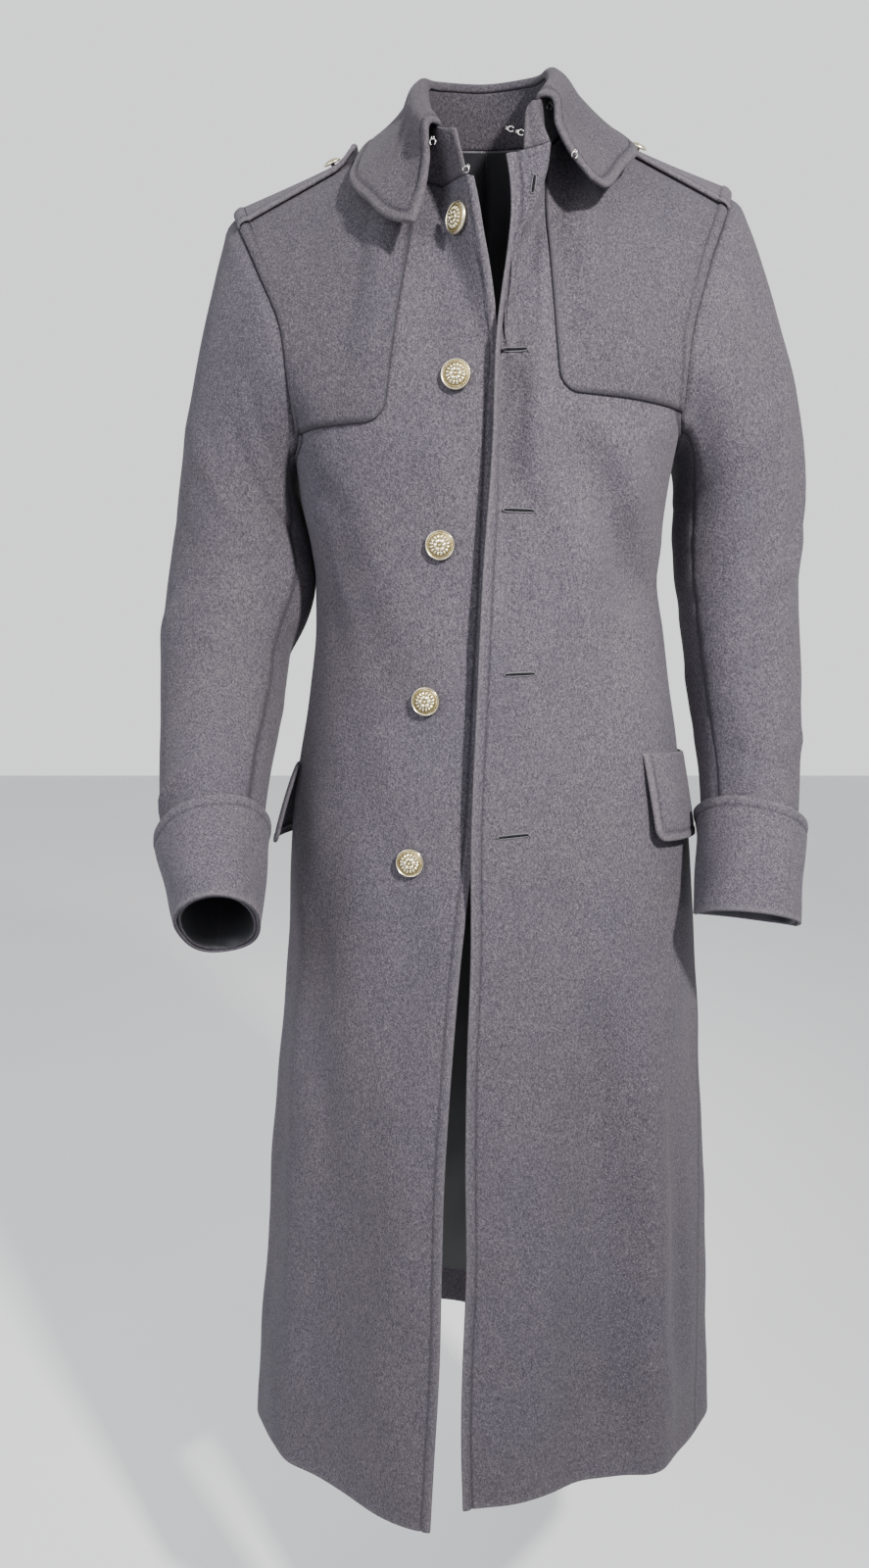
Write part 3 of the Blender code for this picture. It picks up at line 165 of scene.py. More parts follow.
# How the open throat stands forward between its edge and the yoke's seam, as level sections. Each
# row: share of the way up, then at each of the four stops the share reached across and back
THROAT_STOPS = (0.0, 0.15, 0.40, 0.60, 0.80, 1.0)
THROAT = {
    "right": (
        (0.00, 0.15, 0.03, 0.40, 0.17, 0.60, 0.37, 0.80, 0.65),
        (0.24, 0.07, 0.03, 0.18, 0.27, 0.43, 0.47, 0.71, 0.73),
        (0.45, 0.07, 0.04, 0.26, 0.52, 0.49, 0.69, 0.75, 0.86),
        (0.61, 0.08, 0.05, 0.36, 0.72, 0.55, 0.82, 0.77, 0.92),
        (0.80, 0.12, 0.08, 0.52, 0.86, 0.67, 0.93, 0.83, 0.97),
        (1.00, 0.14, 0.08, 0.58, 0.88, 0.72, 0.94, 0.86, 0.98),
    ),
    "left": (
        (0.00, 0.15, 0.00, 0.40, 0.17, 0.60, 0.37, 0.80, 0.65),
        (0.20, 0.15, 0.00, 0.31, 0.04, 0.42, 0.40, 0.70, 0.78),
        (0.42, 0.15, -0.02, 0.31, -0.02, 0.40, 0.46, 0.68, 0.92),
        (0.62, 0.16, -0.02, 0.36, -0.02, 0.45, 0.46, 0.68, 0.90),
        (0.74, 0.30, -0.02, 0.70, -0.02, 0.75, 0.44, 0.84, 0.84),
        (0.87, 0.38, -0.03, 0.92, -0.02, 0.92, 0.42, 0.94, 0.78),
        (1.00, 0.38, -0.03, 0.95, -0.02, 0.94, 0.40, 0.95, 0.75),
    ),
}

# Soft folds: where their middle is (angle round the body, height), how long and wide they are,
# how far they lean and how high they stand
FOLDS = (
    (34.0, -0.36, 0.30, 16.0, 60.0, 0.0050), (-30.0, -0.40, 0.26, 15.0, -45.0, 0.0030),
    (45.0, -1.12, 0.60, 9.0, 4.0, 0.0080), (20.0, -1.12, 0.50, 8.0, -3.0, -0.0060),
    (78.0, -1.05, 0.60, 10.0, 0.0, 0.0040), (-34.0, -1.15, 0.50, 10.0, 3.0, -0.0030),
    (-58.0, -1.10, 0.60, 9.0, -4.0, 0.0040), (-84.0, -1.10, 0.55, 10.0, 2.0, 0.0050),
    (118.0, -1.05, 0.60, 12.0, -6.0, -0.0090), (146.0, -1.05, 0.62, 13.0, 5.0, 0.0100),
    (-116.0, -1.05, 0.60, 12.0, 5.0, -0.0080), (-148.0, -1.05, 0.62, 13.0, -4.0, 0.0100),
    (150.0, -0.40, 0.22, 14.0, 20.0, -0.0040), (-150.0, -0.40, 0.22, 14.0, -20.0, -0.0040),
)

# Sleeves as rings along the arm: across, forward, height, half width and half depth
SLEEVE = {
    "right": (
        (-0.2280, 0.006, -0.351, 0.0610, 0.0690), (-0.2310, 0.004, -0.387, 0.0645, 0.0690),
        (-0.2370, -0.005, -0.424, 0.0640, 0.0670), (-0.2430, -0.017, -0.460, 0.0610, 0.0640),
        (-0.2440, -0.032, -0.496, 0.0580, 0.0610), (-0.2445, -0.053, -0.530, 0.0540, 0.0580),
        (-0.2450, -0.079, -0.563, 0.0495, 0.0560), (-0.2430, -0.106, -0.594, 0.0455, 0.0530),
        (-0.2385, -0.134, -0.624, 0.0405, 0.0500), (-0.2270, -0.187, -0.679, 0.0320, 0.0480),
    ),
    "left": (
        (0.2380, 0.006, -0.335, 0.0590, 0.0690), (0.2390, 0.005, -0.387, 0.0585, 0.0670),
        (0.2410, 0.000, -0.424, 0.0560, 0.0650), (0.2440, -0.007, -0.461, 0.0540, 0.0620),
        (0.2460, -0.015, -0.497, 0.0525, 0.0590), (0.2470, -0.026, -0.533, 0.0490, 0.0560),
        (0.2475, -0.039, -0.569, 0.0450, 0.0530), (0.2450, -0.058, -0.603, 0.0430, 0.0495),
        (0.2418, -0.078, -0.640, 0.0405, 0.0450), (0.2342, -0.105, -0.699, 0.0435, 0.0430),
    ),
}
# How the sleeve head leaves the shoulder: outward, down, then its pull along the arm
CAP = {"right": (0.055, -0.030, 0.20), "left": (0.100, -0.035, 0.20)}
CAP_UNDER = (0.035, 0.07)   # the same outward and along the arm at the armpit
CAP_LEVEL = (0.025, 0.030)  # the same outward and forward half-way between
FRONT_SLEEVE_SEAM = 9     # ring point, counted from the shoulder tip down the front
HIND_SLEEVE_SEAM = 17     # ring point, counted on round the armpit and up the back
# Cuffs: length, how much of it the outer side lacks, and how far they stand off at top and rim
CUFF = {"right": (0.090, 0.06, 0.0040, 0.0), "left": (0.092, 0.06, 0.0040, 0.0)}
CUFF_CLEAR = 0.0006       # between the sleeve and its cuff at the rim
RIM_PAST_SLEEVE = 0.0010  # how far the cuff's rim passes the sleeve's end

# The collar from the right front round the neck to the left front. Each row: share of the way
# round, then the stand's top line (across, forward, height)
STAND_TOP = (
    (0.00, -0.031, -0.121, -0.045), (0.10, -0.045, -0.110, -0.040), (0.20, -0.053, -0.074, -0.018),
    (0.32, -0.055, -0.012, 0.024), (0.42, -0.041, 0.038, 0.041), (0.50, 0.001, 0.056, 0.046),
    (0.58, 0.042, 0.038, 0.045), (0.68, 0.052, -0.012, 0.033), (0.80, 0.049, -0.072, 0.003),
    (0.90, 0.039, -0.112, -0.020), (1.00, 0.025, -0.124, -0.030),
)
# The leaf's lower edge: share of the way round, across, forward, height
LEAF_EDGE = (
    (0.10, -0.062, -0.127, -0.118), (0.14, -0.077, -0.119, -0.114), (0.22, -0.103, -0.095, -0.090),
    (0.29, -0.117, -0.055, -0.058), (0.33, -0.109, -0.010, -0.022), (0.37, -0.097, 0.026, -0.008),
    (0.44, -0.058, 0.072, -0.006), (0.50, 0.001, 0.086, -0.004), (0.56, 0.059, 0.072, -0.002),
    (0.63, 0.099, 0.026, -0.003), (0.67, 0.110, -0.010, -0.011), (0.71, 0.121, -0.048, -0.037),
    (0.79, 0.106, -0.088, -0.066), (0.87, 0.088, -0.118, -0.087), (0.91, 0.077, -0.127, -0.085),
)
# The leaf's roll over the stand, from the stand's top: how far out and how far up
ROLL = ((0.0000, 0.0000), (0.0002, 0.0022), (0.0026, 0.0042), (0.0062, 0.0020))
HOLLOW = 0.0065           # how far the leaf hangs inside a straight line to its edge
ROLL_INSET = 0.0004       # how far inside the stand's top line the leaf starts
LEAF_ROWS = (0.33, 0.66, 1.0)
LEAF_COLUMNS = 31
# Each shoulder strap: its first column from the neck, and its tip's rise
STRAP = {"right": (2, 0.009), "left": (2, 0.0)}
STRAP_END_EASE = 0.002    # how far the strap stops short of the sleeve head

# Pocket flaps: height of the top at the front and rear end, angles round the body, depth, stand-off
FLAPS = {
    "right": {"top": (-0.571, -0.577), "angles": (-77.0, -128.0), "depth": 0.075, "stand": (0.012, 0.012)},
    "left": {"top": (-0.550, -0.564), "angles": (44.0, 104.0), "depth": 0.077, "stand": (0.007, 0.000)},
}

# The buttons on the right front: height, across
BUTTONS = ((-0.111, -0.027), (-0.233, -0.029), (-0.369, -0.042), (-0.500, -0.054), (-0.641, -0.068))
BUTTON_LIFT = 0.0016      # the shank's length, from the cloth to the button's back

# How finely each stretch is divided, as shares of the way across or up
YOKE_SHARE = 0.44         # where the yoke's upright seam lies across the front
NECK_SHARE = 0.66         # where the neck point lies across the front
BACK_NECK_SHARE = 0.34
NECK_CELLS = 4
SHOULDER_STOPS = (0.16, 0.270, 0.34, 0.56, 0.78, 1.0)
YOKE_STOPS = (0.16, 0.32, 0.48, 0.62, 0.76, 0.890, 0.945, 1.0)
LOWER_ROWS = 15
SCOOP_ROWS = 3
VENT_TOP_ROW = 9          # rows up from the hem to the top of the vent
VENT_UNDER = -0.13        # how far the right back runs on under the left one, as a share
EDGE_FADE = 32.0          # degrees over which a front settles from its edge onto the body
EDGE_ROLL = 8.0           # the same beside the left front's rolled upper edge
EDGE_ROLL_RISE = (-0.42, -0.30)   # heights between which that roll sets in
FRONT_PULL = (0.90, 0.85) # how strongly a front's columns keep their direction at the foot and top
BACK_PULL = (0.95, 0.80)  # the same for a back
ARM_PULL = 2.2            # how fast the armhole's own line fades away from it

# How the scene's cloth is finer than the solids: cells for each coarse cell
EDGE_CELLS = 24          # across the first strip beside a front edge, for its stitched groove
THROAT_CELLS = (8, 7, 7, 7)
PANEL_CELLS = 5          # across the rest of a panel
ROW_CELLS = 7            # up the lower part
HEM_STOPS = (0.0, 0.04, 0.08, 0.14, 0.22, 0.34, 0.50, 0.67, 0.84)
HEAD_ROWS = 30           # from the armhole to the sleeve's first ring
# Finer cells beside the armhole, as shares of the last stretch of a panel
ARM_STOPS = (0.15, 0.30, 0.45, 0.58, 0.67, 0.72, 0.75, 0.78, 0.82, 0.87, 0.92, 0.95, 0.975, 1.0)
RING_STEPS = 7           # between two of the sleeve's rings
LINING_GAP = 0.088       # the facing's width beside the front edge, in metres
YOKE_THICK = 0.0016      # how far the yoke's edge shows above the front
YOKE_ROUND = 0.017       # radius of its lower corner
STITCH_INSET = 0.0085    # topstitching to the edge
STITCH_STEP = 0.0042
ARM_STRIP = 0.008        # the pressed strip beside the armhole seam

# Creases, as soft lines on the front (F) or back (B): start across and height, end
# across and height, sideways bow, half width, rise (a trough if negative)
CREASES = (
    ("F", 0.080, -0.285, 0.143, -0.425, -0.004, 0.014, -0.0088),
    ("F", 0.108, -0.280, 0.147, -0.385, -0.003, 0.014, 0.0056),
    ("F", 0.060, -0.320, 0.108, -0.455, -0.004, 0.018, 0.0030),
    ("F", 0.045, -0.310, 0.070, -0.440, 0.006, 0.014, 0.0022),
    ("F", 0.090, -0.262, 0.094, -0.330, 0.002, 0.0070, 0.0010),
    ("F", 0.066, -0.262, 0.074, -0.340, 0.003, 0.0060, -0.0010),
    ("F", 0.150, -0.285, 0.090, -0.340, -0.006, 0.010, -0.0016),
    ("F", -0.165, -0.310, -0.105, -0.395, 0.010, 0.012, -0.0030),
    ("F", -0.150, -0.330, -0.075, -0.460, 0.012, 0.015, 0.0030),
    ("F", -0.168, -0.380, -0.120, -0.470, 0.008, 0.010, -0.0018),
    ("F", 0.120, -0.470, 0.155, -0.560, 0.006, 0.014, 0.0022),
    ("F", 0.100, -0.620, 0.118, -0.900, 0.010, 0.020, 0.0030),
    ("F", 0.096, -0.800, 0.114, -1.235, 0.004, 0.021, -0.0135),
    ("F", 0.147, -0.800, 0.162, -1.240, 0.002, 0.016, 0.0095),
    ("F", 0.173, -0.860, 0.190, -1.140, 0.002, 0.009, -0.0056),
    ("F", 0.062, -0.880, 0.066, -1.180, 0.004, 0.018, 0.0016),
    ("F", 0.020, -0.900, 0.028, -1.240, 0.006, 0.018, 0.0020),
    ("F", -0.110, -0.640, -0.128, -1.000, -0.010, 0.022, 0.0042),
    ("F", -0.150, -0.720, -0.178, -1.240, 0.010, 0.022, -0.0058),
    ("F", -0.088, -0.820, -0.098, -1.240, 0.010, 0.022, 0.0042),
    ("F", -0.166, -0.840, -0.173, -1.090, 0.002, 0.010, 0.0030),
    ("F", -0.202, -0.950, -0.214, -1.230, 0.004, 0.012, 0.0022),
    ("F", -0.060, -0.300, -0.086, -0.350, 0.004, 0.010, -0.0012),
    ("F", -0.040, -0.135, -0.064, -0.200, 0.006, 0.009, -0.0020),
    ("F", -0.100, -0.150, -0.150, -0.235, 0.008, 0.014, -0.0016),
    ("F", 0.100, -0.110, 0.150, -0.205, -0.006, 0.014, -0.0018),
    ("F", 0.125, -0.090, 0.160, -0.170, -0.004, 0.010, 0.0014),
    ("B", -0.130, -0.200, -0.060, -0.300, 0.012, 0.016, 0.0030),
    ("B", 0.135, -0.190, 0.070, -0.310, -0.012, 0.016, 0.0034),
    ("B", -0.150, -0.330, -0.070, -0.430, 0.010, 0.014, -0.0030),
    ("B", 0.150, -0.320, 0.050, -0.440, -0.010, 0.014, -0.0028),
    ("B", -0.090, -0.430, 0.080, -0.452, 0.008, 0.012, 0.0022),
    ("B", -0.060, -0.470, -0.075, -1.180, 0.012, 0.024, -0.0045),
    ("B", 0.090, -0.500, 0.110, -1.200, -0.010, 0.022, -0.0040),
    ("B", 0.155, -0.620, 0.175, -1.180, 0.008, 0.020, 0.0040),
    ("B", -0.150, -0.600, -0.172, -1.200, -0.008, 0.020, 0.0036),
    ("B", -0.015, -0.060, -0.022, -0.170, 0.004, 0.016, -0.0016),
)
# Creases round the sleeves: share of the way down, angle round the arm from the outside over the
# front, length in degrees, lean (share of the way down per turn), half width as a share, rise
SLEEVE_CREASES = {
    "right": (
        (0.40, 190.0, 130.0, 0.05, 0.070, 0.0085), (0.255, 120.0, 100.0, 0.66, 0.020, -0.0034),
        (0.28, 85.0, 90.0, 0.60, 0.018, 0.0020), (0.47, 160.0, 120.0, 0.24, 0.020, -0.0016),
        (0.505, 120.0, 100.0, 0.30, 0.018, -0.0012), (0.55, 110.0, 110.0, 0.26, 0.020, 0.0018),
        (0.61, 160.0, 110.0, -0.12, 0.020, 0.0012), (0.22, 40.0, 90.0, 0.10, 0.020, 0.0016),
        (0.479, 55.0, 110.0, -0.260, 0.022, 0.0022), (0.435, 60.0, 100.0, -0.260, 0.020, -0.0012),
        (0.790, 50.0, 100.0, -0.26, 0.012, 0.0036), (0.820, 50.0, 90.0, -0.26, 0.010, -0.0022),
        (0.70, 100.0, 110.0, 0.12, 0.026, -0.0016), (0.50, -70.0, 120.0, 0.20, 0.020, -0.0028),
        (0.57, -80.0, 100.0, -0.15, 0.016, 0.0026), (0.33, -110.0, 100.0, 0.20, 0.018, -0.0024),
        (0.75, -80.0, 110.0, -0.24, 0.018, -0.0022), (0.12, 100.0, 70.0, 0.35, 0.020, -0.0014),
    ),
    "left": (
        (0.28, 155.0, 110.0, 0.18, 0.018, -0.0014), (0.36, 160.0, 110.0, -0.14, 0.020, 0.0014),
        (0.46, 170.0, 100.0, -0.12, 0.020, -0.0014), (0.57, 160.0, 110.0, 0.12, 0.022, 0.0014),
        (0.67, 165.0, 100.0, -0.10, 0.020, -0.0012), (0.34, 75.0, 60.0, 2.60, 0.045, -0.0042),
        (0.30, 30.0, 60.0, 2.40, 0.040, 0.0038), (0.60, 85.0, 50.0, 3.00, 0.050, -0.0020),
        (0.62, 40.0, 50.0, -2.60, 0.045, 0.0018), (0.20, 55.0, 100.0, 0.16, 0.022, 0.0020),
        (0.40, 45.0, 110.0, 0.30, 0.026, 0.0020), (0.47, 60.0, 100.0, 0.26, 0.020, -0.0020),
        (0.77, 80.0, 110.0, -0.26, 0.018, -0.0020), (0.72, 40.0, 90.0, 0.22, 0.018, 0.0018),
        (0.48, -75.0, 120.0, -0.18, 0.020, -0.0028), (0.55, -85.0, 100.0, 0.14, 0.016, 0.0026),
        (0.30, -105.0, 100.0, -0.20, 0.018, -0.0024), (0.78, -75.0, 110.0, 0.20, 0.018, -0.0020),
        (0.12, 105.0, 70.0, 0.30, 0.020, -0.0014),
    ),
}
WRIST_LIFT = {"right": 0.0, "left": 0.009}      # how far the sleeve's end rises at the back
CUFF_RIM_PAINTED_SHADE = {"right": 0.6, "left": 0.1}        # painted shade on the cuff's edge where it lies against the sleeve
# Slow unevenness of all the cloth: wave lengths across and up, phase, rise
RIPPLES = (
    (0.170, 0.420, 0.3, 0.0010), (0.095, 0.260, 1.9, 0.0007), (0.061, 0.190, 4.1, 0.0004),
    (0.240, 0.130, 2.6, 0.0006),
)
# The left front's edge rolls forward, with a hollow behind it and a bank before the yoke: height, the
# hollow's place across, its depth, the bank's rise
HOLLOW_LINE = (
    (-0.500, 0.0100, 0.0000, 0.0000), (-0.400, 0.0110, 0.0020, 0.0005), (-0.340, 0.0125, 0.0055, 0.0030),
    (-0.290, 0.0135, 0.0090, 0.0060), (-0.240, 0.0140, 0.0120, 0.0080), (-0.180, 0.0155, 0.0120, 0.0080),
    (-0.155, 0.0180, 0.0095, 0.0070), (-0.132, 0.0240, 0.0060, 0.0050), (-0.112, 0.0300, 0.0025, 0.0025),
    (-0.090, 0.0330, 0.0000, 0.0005), (-0.060, 0.0340, 0.0000, 0.0000),
)
# Buttonholes on the left front: across, height, length, tilt in degrees
BUTTONHOLES = (
    (0.0310, -0.0910, 0.0135, 82.0), (0.0185, -0.2130, 0.0210, 0.0), (0.0230, -0.3410, 0.0270, -2.0),
    (0.0250, -0.4760, 0.0265, 2.0), (0.0210, -0.6150, 0.0280, 4.0),
)

# Hooks and eyes: middle, the way they face, and their upper end
HOOKS = (
    ((0.0129, -0.1270, -0.0476), (0.6, -1.0, 0.1), (-1.0, 0.0, 0.2)),
    ((0.0207, -0.1300, -0.0512), (0.5, -1.0, 0.1), (-1.0, 0.0, 0.2)),
    ((0.0455, -0.1010, -0.0215), (0.4, -1.0, -0.1), (0.2, 0.0, 1.0)),
    ((0.0635, -0.1270, -0.0665), (0.4, -1.0, -0.1), (0.3, 0.0, 1.0)),
    ((-0.0482, -0.1180, -0.0539), (-0.3, -1.0, -0.1), (0.0, 0.0, 1.0)),
    ((-0.0223, -0.1290, -0.0779), (0.2, -1.0, 0.1), (0.6, 0.0, 0.8)),
)

# How the cloth is worked, in metres where nothing else is said
SEAM_DRAW = GAP * 0.6    # how far each piece is drawn back at a seam
HEM_TURN = 0.040         # depth of the turned-up hem
HEM_WEAR = 0.003         # width of the wear beside a body panel's edge
EDGE_WEAR = 0.004        # the same on the smaller pieces
YOKE_STITCH = 0.0035     # topstitching to the edge of the yokes, the stand, the leaf, flaps and straps
STAND_STITCH = 0.0060
LEAF_STITCH = 0.0078
FLAP_STITCH = 0.0075
STRAP_STITCH = 0.0055
SHORT_STEP = 0.0038      # stitches of the stand and straps
YOKE_STEP = 0.0036
FLAP_ROUND = 0.011       # radius of a flap's lower corners
ARM_FADE = 8.0           # rows above the armpit over which the pressed strip sets in
HEAD_SLIP = 16.0         # rows over which a sleeve head takes up the armhole's creases
SHOULDER_SEAM_PAINTED_SHADE = 0.8         # painted shade along the shoulder seams
NECK_CROSSING = (0.30, 0.35, 0.88)      # direction in which a front's columns reach the throat's top
CENTRE_CROSSING = (0.0, -0.45, 0.89)    # and a back's columns the middle of the back neck
NECK_FINE = 4            # cells across each coarse one below the neckline
BACK_CENTRE = 6          # cells of the right back that run on under the left one
SCOOP_CELLS = 5          # cells up each coarse one beside the armhole's scoop
YOKE_CELLS = 6           # and above it
STRAP_ROWS = 12          # a strap's rows before and behind the shoulder seam
TINY = 1e-9              # keeps a divisor above zero
BUTTON_SIDES = 144
BUTTON_BACK = ((0.22, -0.30), (0.22, 0.00), (0.80, 0.03), (0.97, 0.07), (1.00, 0.11))   # out, up
BUTTON_EDGE = 0.14       # height of a button's rim over its back, as a share of the radius
FLOOR_LEVEL = -1.60
FLOOR_REACH = 6.0
# Lights: place, aim, size, power, colour and spread in degrees
LIGHTS = {
    "key": ((0.92, -1.50, 0.74), (0.05, -0.1, -0.48), 0.14, 15.5, (1.0, 0.98, 0.95), 66.0),
    "fill": ((-1.4, -1.6, 0.3), (0.0, 0.0, -0.4), 1.2, 32.0, (0.94, 0.97, 1.0), 180.0),
    "back_light": ((0.6, 2.0, 0.9), (0.0, 0.0, -0.5), 1.6, 14.0, (1.0, 1.0, 1.0), 180.0),
}
# Painted shade along a seam or a row of stitches: half width of the line, strength
PAINTED_SHADE_LINES = {
    "armhole": (0.0046, 1.0), "arm strip": (0.0026, 0.9), "side seam": (0.0014, 0.7), "front edge": (0.0010, 0.55),
    "yoke edge": (0.0013, 0.9), "yoke strip": (0.0013, 0.6), "sleeve seam": (0.0030, 0.85),
    "sleeve head": (0.0020, 0.9), "cuff": (0.0011, 0.35), "neck seam": (0.0014, 0.8), "stand": (0.0010, 0.45),
    "leaf": (0.0016, 0.80), "flap": (0.0015, 0.60), "strap": (0.0015, 0.60),
}
GROOVE_DEPTH = 0.0011    # the dent of a row of stitches, its half width, and the puff beside it
GROOVE_WIDTH = 0.0012
PUFF = 0.0005
THREAD_SHARE = 0.34      # half a stitch's length as a share of its step
THREAD_SIZE = (0.00042, 0.00038)        # half width and half height
THREAD_LIFT = 0.00012
STRIP_RISE = 0.0018      # how far the pressed strip stands above the panel beside the armhole
ARM_DITCH = 0.0024       # depth and width of the ditch along the armhole seam
HEM_MARK = 0.0005        # how far the hem's stitches draw the cloth in, and how wide the mark is
HEM_MARK_WIDTH = 0.003
EDGE_SETTLE = 0.030      # how far from a front edge the creases are weaker
EDGE_RISE = (0.0022, 0.006)             # how far the left front's edge rolls up, and how wide
BANK = (0.040, 0.014)    # the bank beside the left yoke: its place across and its half width
HOLLOW_WIDTH = 0.009     # half width of the hollow beside it
TUCK = (-0.0040, -0.003, 0.013)         # the right front under the left's edge: rise, place, half width
TUCK_ENDS = ((-0.17, 0.06), (-0.70, 0.08))      # its upper and lower end, and the height of its fade
CREASE_FADE = (0.18, 0.36)              # how far a crease runs past its ends, and fades, in lengths
FLAP_POINTS = (49, 81)   # down and across a flap
STAND_POINTS = 22        # up the stand
CUFF_STOPS, CUFF_CELLS = (1.0, 0.80, 0.05, 0.0), (20, 22, 4)
LEAF_STOPS, LEAF_CELLS = (0.0, 0.0022, 0.0055, 0.0100, 0.040, 0.070, 0.100), (3, 4, 5, 10, 10, 18)
LIP_RADIUS = 0.0006      # buttonholes: the cord, the slit's painted shadow line, half the slit, half the bar
SLIT_RADIUS = 0.0011
SLIT_HALF = 0.0015
BAR_HALF = 0.0026
WIRE_RADIUS = 0.00045    # hooks and eyes: the wire, the eye, its foot and the way between them
EYE_RADIUS = 0.0024
FOOT_RADIUS = 0.0010
FOOT_REACH = 0.0032
MIDDLE_HEM = 0.5 * (HEM["right"] + HEM["left"])
MIDDLE_PIT = 0.5 * (ARMPIT["right"] + ARMPIT["left"])
LEVEL = np.array((1.0, 1.0, 0.0))        # keeps a direction level
UPRIGHT = np.array((0.0, 0.0, 1.0))


def cubic(t, start, leave, end, arrive):
    """A cubic from start to end with given directions at both."""
    t2, t3 = t * t, t * t * t
    return ((2 * t3 - 3 * t2 + 1) * start + (t3 - 2 * t2 + t) * leave
            + (3 * t2 - 2 * t3) * end + (t3 - t2) * arrive)


def stretch(stops, at):
    """The stretch between stops that holds each place, its length and the share along it."""
    low = np.clip(np.searchsorted(stops, at, side="right") - 1, 0, len(stops) - 2)
    span = (stops[low + 1] - stops[low])[..., None]
    return low, span, (at - stops[low])[..., None] / span


def curve(rows, at):
    """Read a smooth curve through rows of (position, value, value, ...) at given positions."""
    table = np.asarray(rows, float)
    keys, values = table[:, 0], table[:, 1:]
    slopes = np.gradient(values, keys, axis=0)
    low, span, t = stretch(keys, np.clip(np.asarray(at, float), keys[0], keys[-1]))
    return cubic(t, values[low], span * slopes[low], values[low + 1], span * slopes[low + 1])


def spline(stops, knots, at):
    """Read a smooth curve through knots that differ from point to point: knots[..., stop, value]."""
    stops = np.asarray(stops, float)
    slopes = np.gradient(knots, stops, axis=-2)
    low, span, t = stretch(stops, at)

    def pick(values, index):
        return np.take_along_axis(values, index[..., None, None], axis=-2)[..., 0, :]

    return cubic(t, pick(knots, low), span * pick(slopes, low), pick(knots, low + 1),
                 span * pick(slopes, low + 1))


def ramp(value):
    """Rise smoothly from 0 to 1 as the value goes from 0 to 1."""
    value = np.clip(value, 0.0, 1.0)
    return value * value * (3.0 - 2.0 * value)


def bell(distance, at=0.0, width=1.0):
    """A soft bump, 1 high, at a distance."""
    return np.exp(-((distance - at) / width) ** 2)


def mix(a, b, share):
    """Blend two numbers or points."""
    return a + (b - a) * share


def unit(vectors):
    """Scale vectors to length one."""
    return vectors / np.maximum(np.linalg.norm(vectors, axis=-1, keepdims=True), 1e-12)


def body_sizes(height):
    """The body's ring at a height: half width, middle, and the four sizes that shape its depth."""
    sizes = curve(BODY, height)
    return (0.5 * (sizes[..., 1] - sizes[..., 0]), 0.5 * (sizes[..., 1] + sizes[..., 0]),
            *(sizes[..., i] for i in range(2, 6)))


def fold_height(angle, height):
    """How far the soft folds raise the cloth at an angle (degrees) and height."""
    total = np.zeros(np.broadcast(angle, height).shape)
    for middle, level, length, width, lean, rise in FOLDS:
        along = (height - level) / (0.5 * length)
        off = (angle - middle - lean * (height - level) / 0.3) / width
        total = total + rise * ramp(1.5 - np.abs(along)) * np.exp(-off * off * 2.0)
    return total


def ring(angle, height):
    """Point on the body's ring at an angle (degrees, + to the wearer's left) and height."""
    angle, height = np.broadcast_arrays(np.asarray(angle, float), np.asarray(height, float))
    half, middle, front_right, front_left, back, swell = body_sizes(height)
    side, ahead = np.sin(np.radians(angle)), np.cos(np.radians(angle))
    depth = np.where(ahead > 0.0, mix(front_right, front_left, ramp(side * 2.0 + 0.5)), back)
    swell = 1.0 + swell * np.sin(2.0 * np.radians(angle)) ** 2
    out = np.stack([side / half, -ahead / depth, np.zeros_like(side)], axis=-1)
    base = np.stack([middle + half * side * swell, -depth * ahead * swell, height], axis=-1)
    return base + unit(out) * fold_height(angle, height)[..., None]


def seam_angle(side, height):
    """Angle of a side seam, unsigned."""
    return curve(SIDE_SEAMS, height)[..., 0 if side == "right" else 1]


def edge_point(side, height):
    """Point on a front edge."""
    found = curve(FRONT_EDGE[side], height)
    return np.stack([found[..., 0], found[..., 1], np.asarray(height, float) + 0 * found[..., 0]], axis=-1)


def on_front(side, share, end_angle, height):
    """Point across a front at a height: share 0 is the front edge, 1 the given angle."""
    half, middle = body_sizes(height)[:2]
    edge = edge_point(side, height)
    start = np.degrees(np.arcsin((edge[..., 0] - middle) / half))
    angle = start + (SIDES[side] * end_angle - start) * share
    low, high = EDGE_ROLL_RISE
    rolled = ramp((height - low) / (high - low)) if side == "left" else 0.0
    settle = 1.0 - ramp(np.abs(angle - start) / mix(EDGE_FADE, EDGE_ROLL, rolled))
    return ring(angle, height) + (edge - ring(start, height)) * settle[..., None]


def corner_share(side):
    """Share across the front at which the yoke's upright seam starts."""
    low, high = 0.2, 0.8
    height = np.array(YOKE_LINE[side][0])
    for _ in range(30):
        middle = 0.5 * (low + high)
        across = on_front(side, np.array(middle), FRONT_ARM_ANGLE[side], height)[..., 0] * SIDES[side]
        low, high = (middle, high) if across < YOKE_ACROSS[side] * SIDES[side] else (low, middle)
    return 0.5 * (low + high)


CORNER = {side: corner_share(side) for side in SIDES}


def yoke_line(side, u):
    """The level line that carries the yoke's lower edge, from the front edge to the armhole."""
    past = (u - YOKE_SHARE) / (1.0 - YOKE_SHARE)
    share = np.where(u < YOKE_SHARE, u / YOKE_SHARE * CORNER[side], mix(CORNER[side], 1.0, past))
    return share, mix(*YOKE_LINE[side], np.clip(past, 0.0, 1.0) ** 1.5)


def front_lower(side, u, v):
    """Front panel from the hem (v 0) to the armpit's level (v 1)."""
    height = mix(HEM[side], ARMPIT[side], v)
    return on_front(side, mix(u, yoke_line(side, u)[0], v ** 3), seam_angle(side, height), height)


def scoop(u, v):
    """How far the armhole's scoop has risen and turned at a share of the way up."""
    quarter = 0.5 * math.pi * v
    return mix(v, 1.0 - np.cos(quarter), u ** 3), np.sin(quarter)


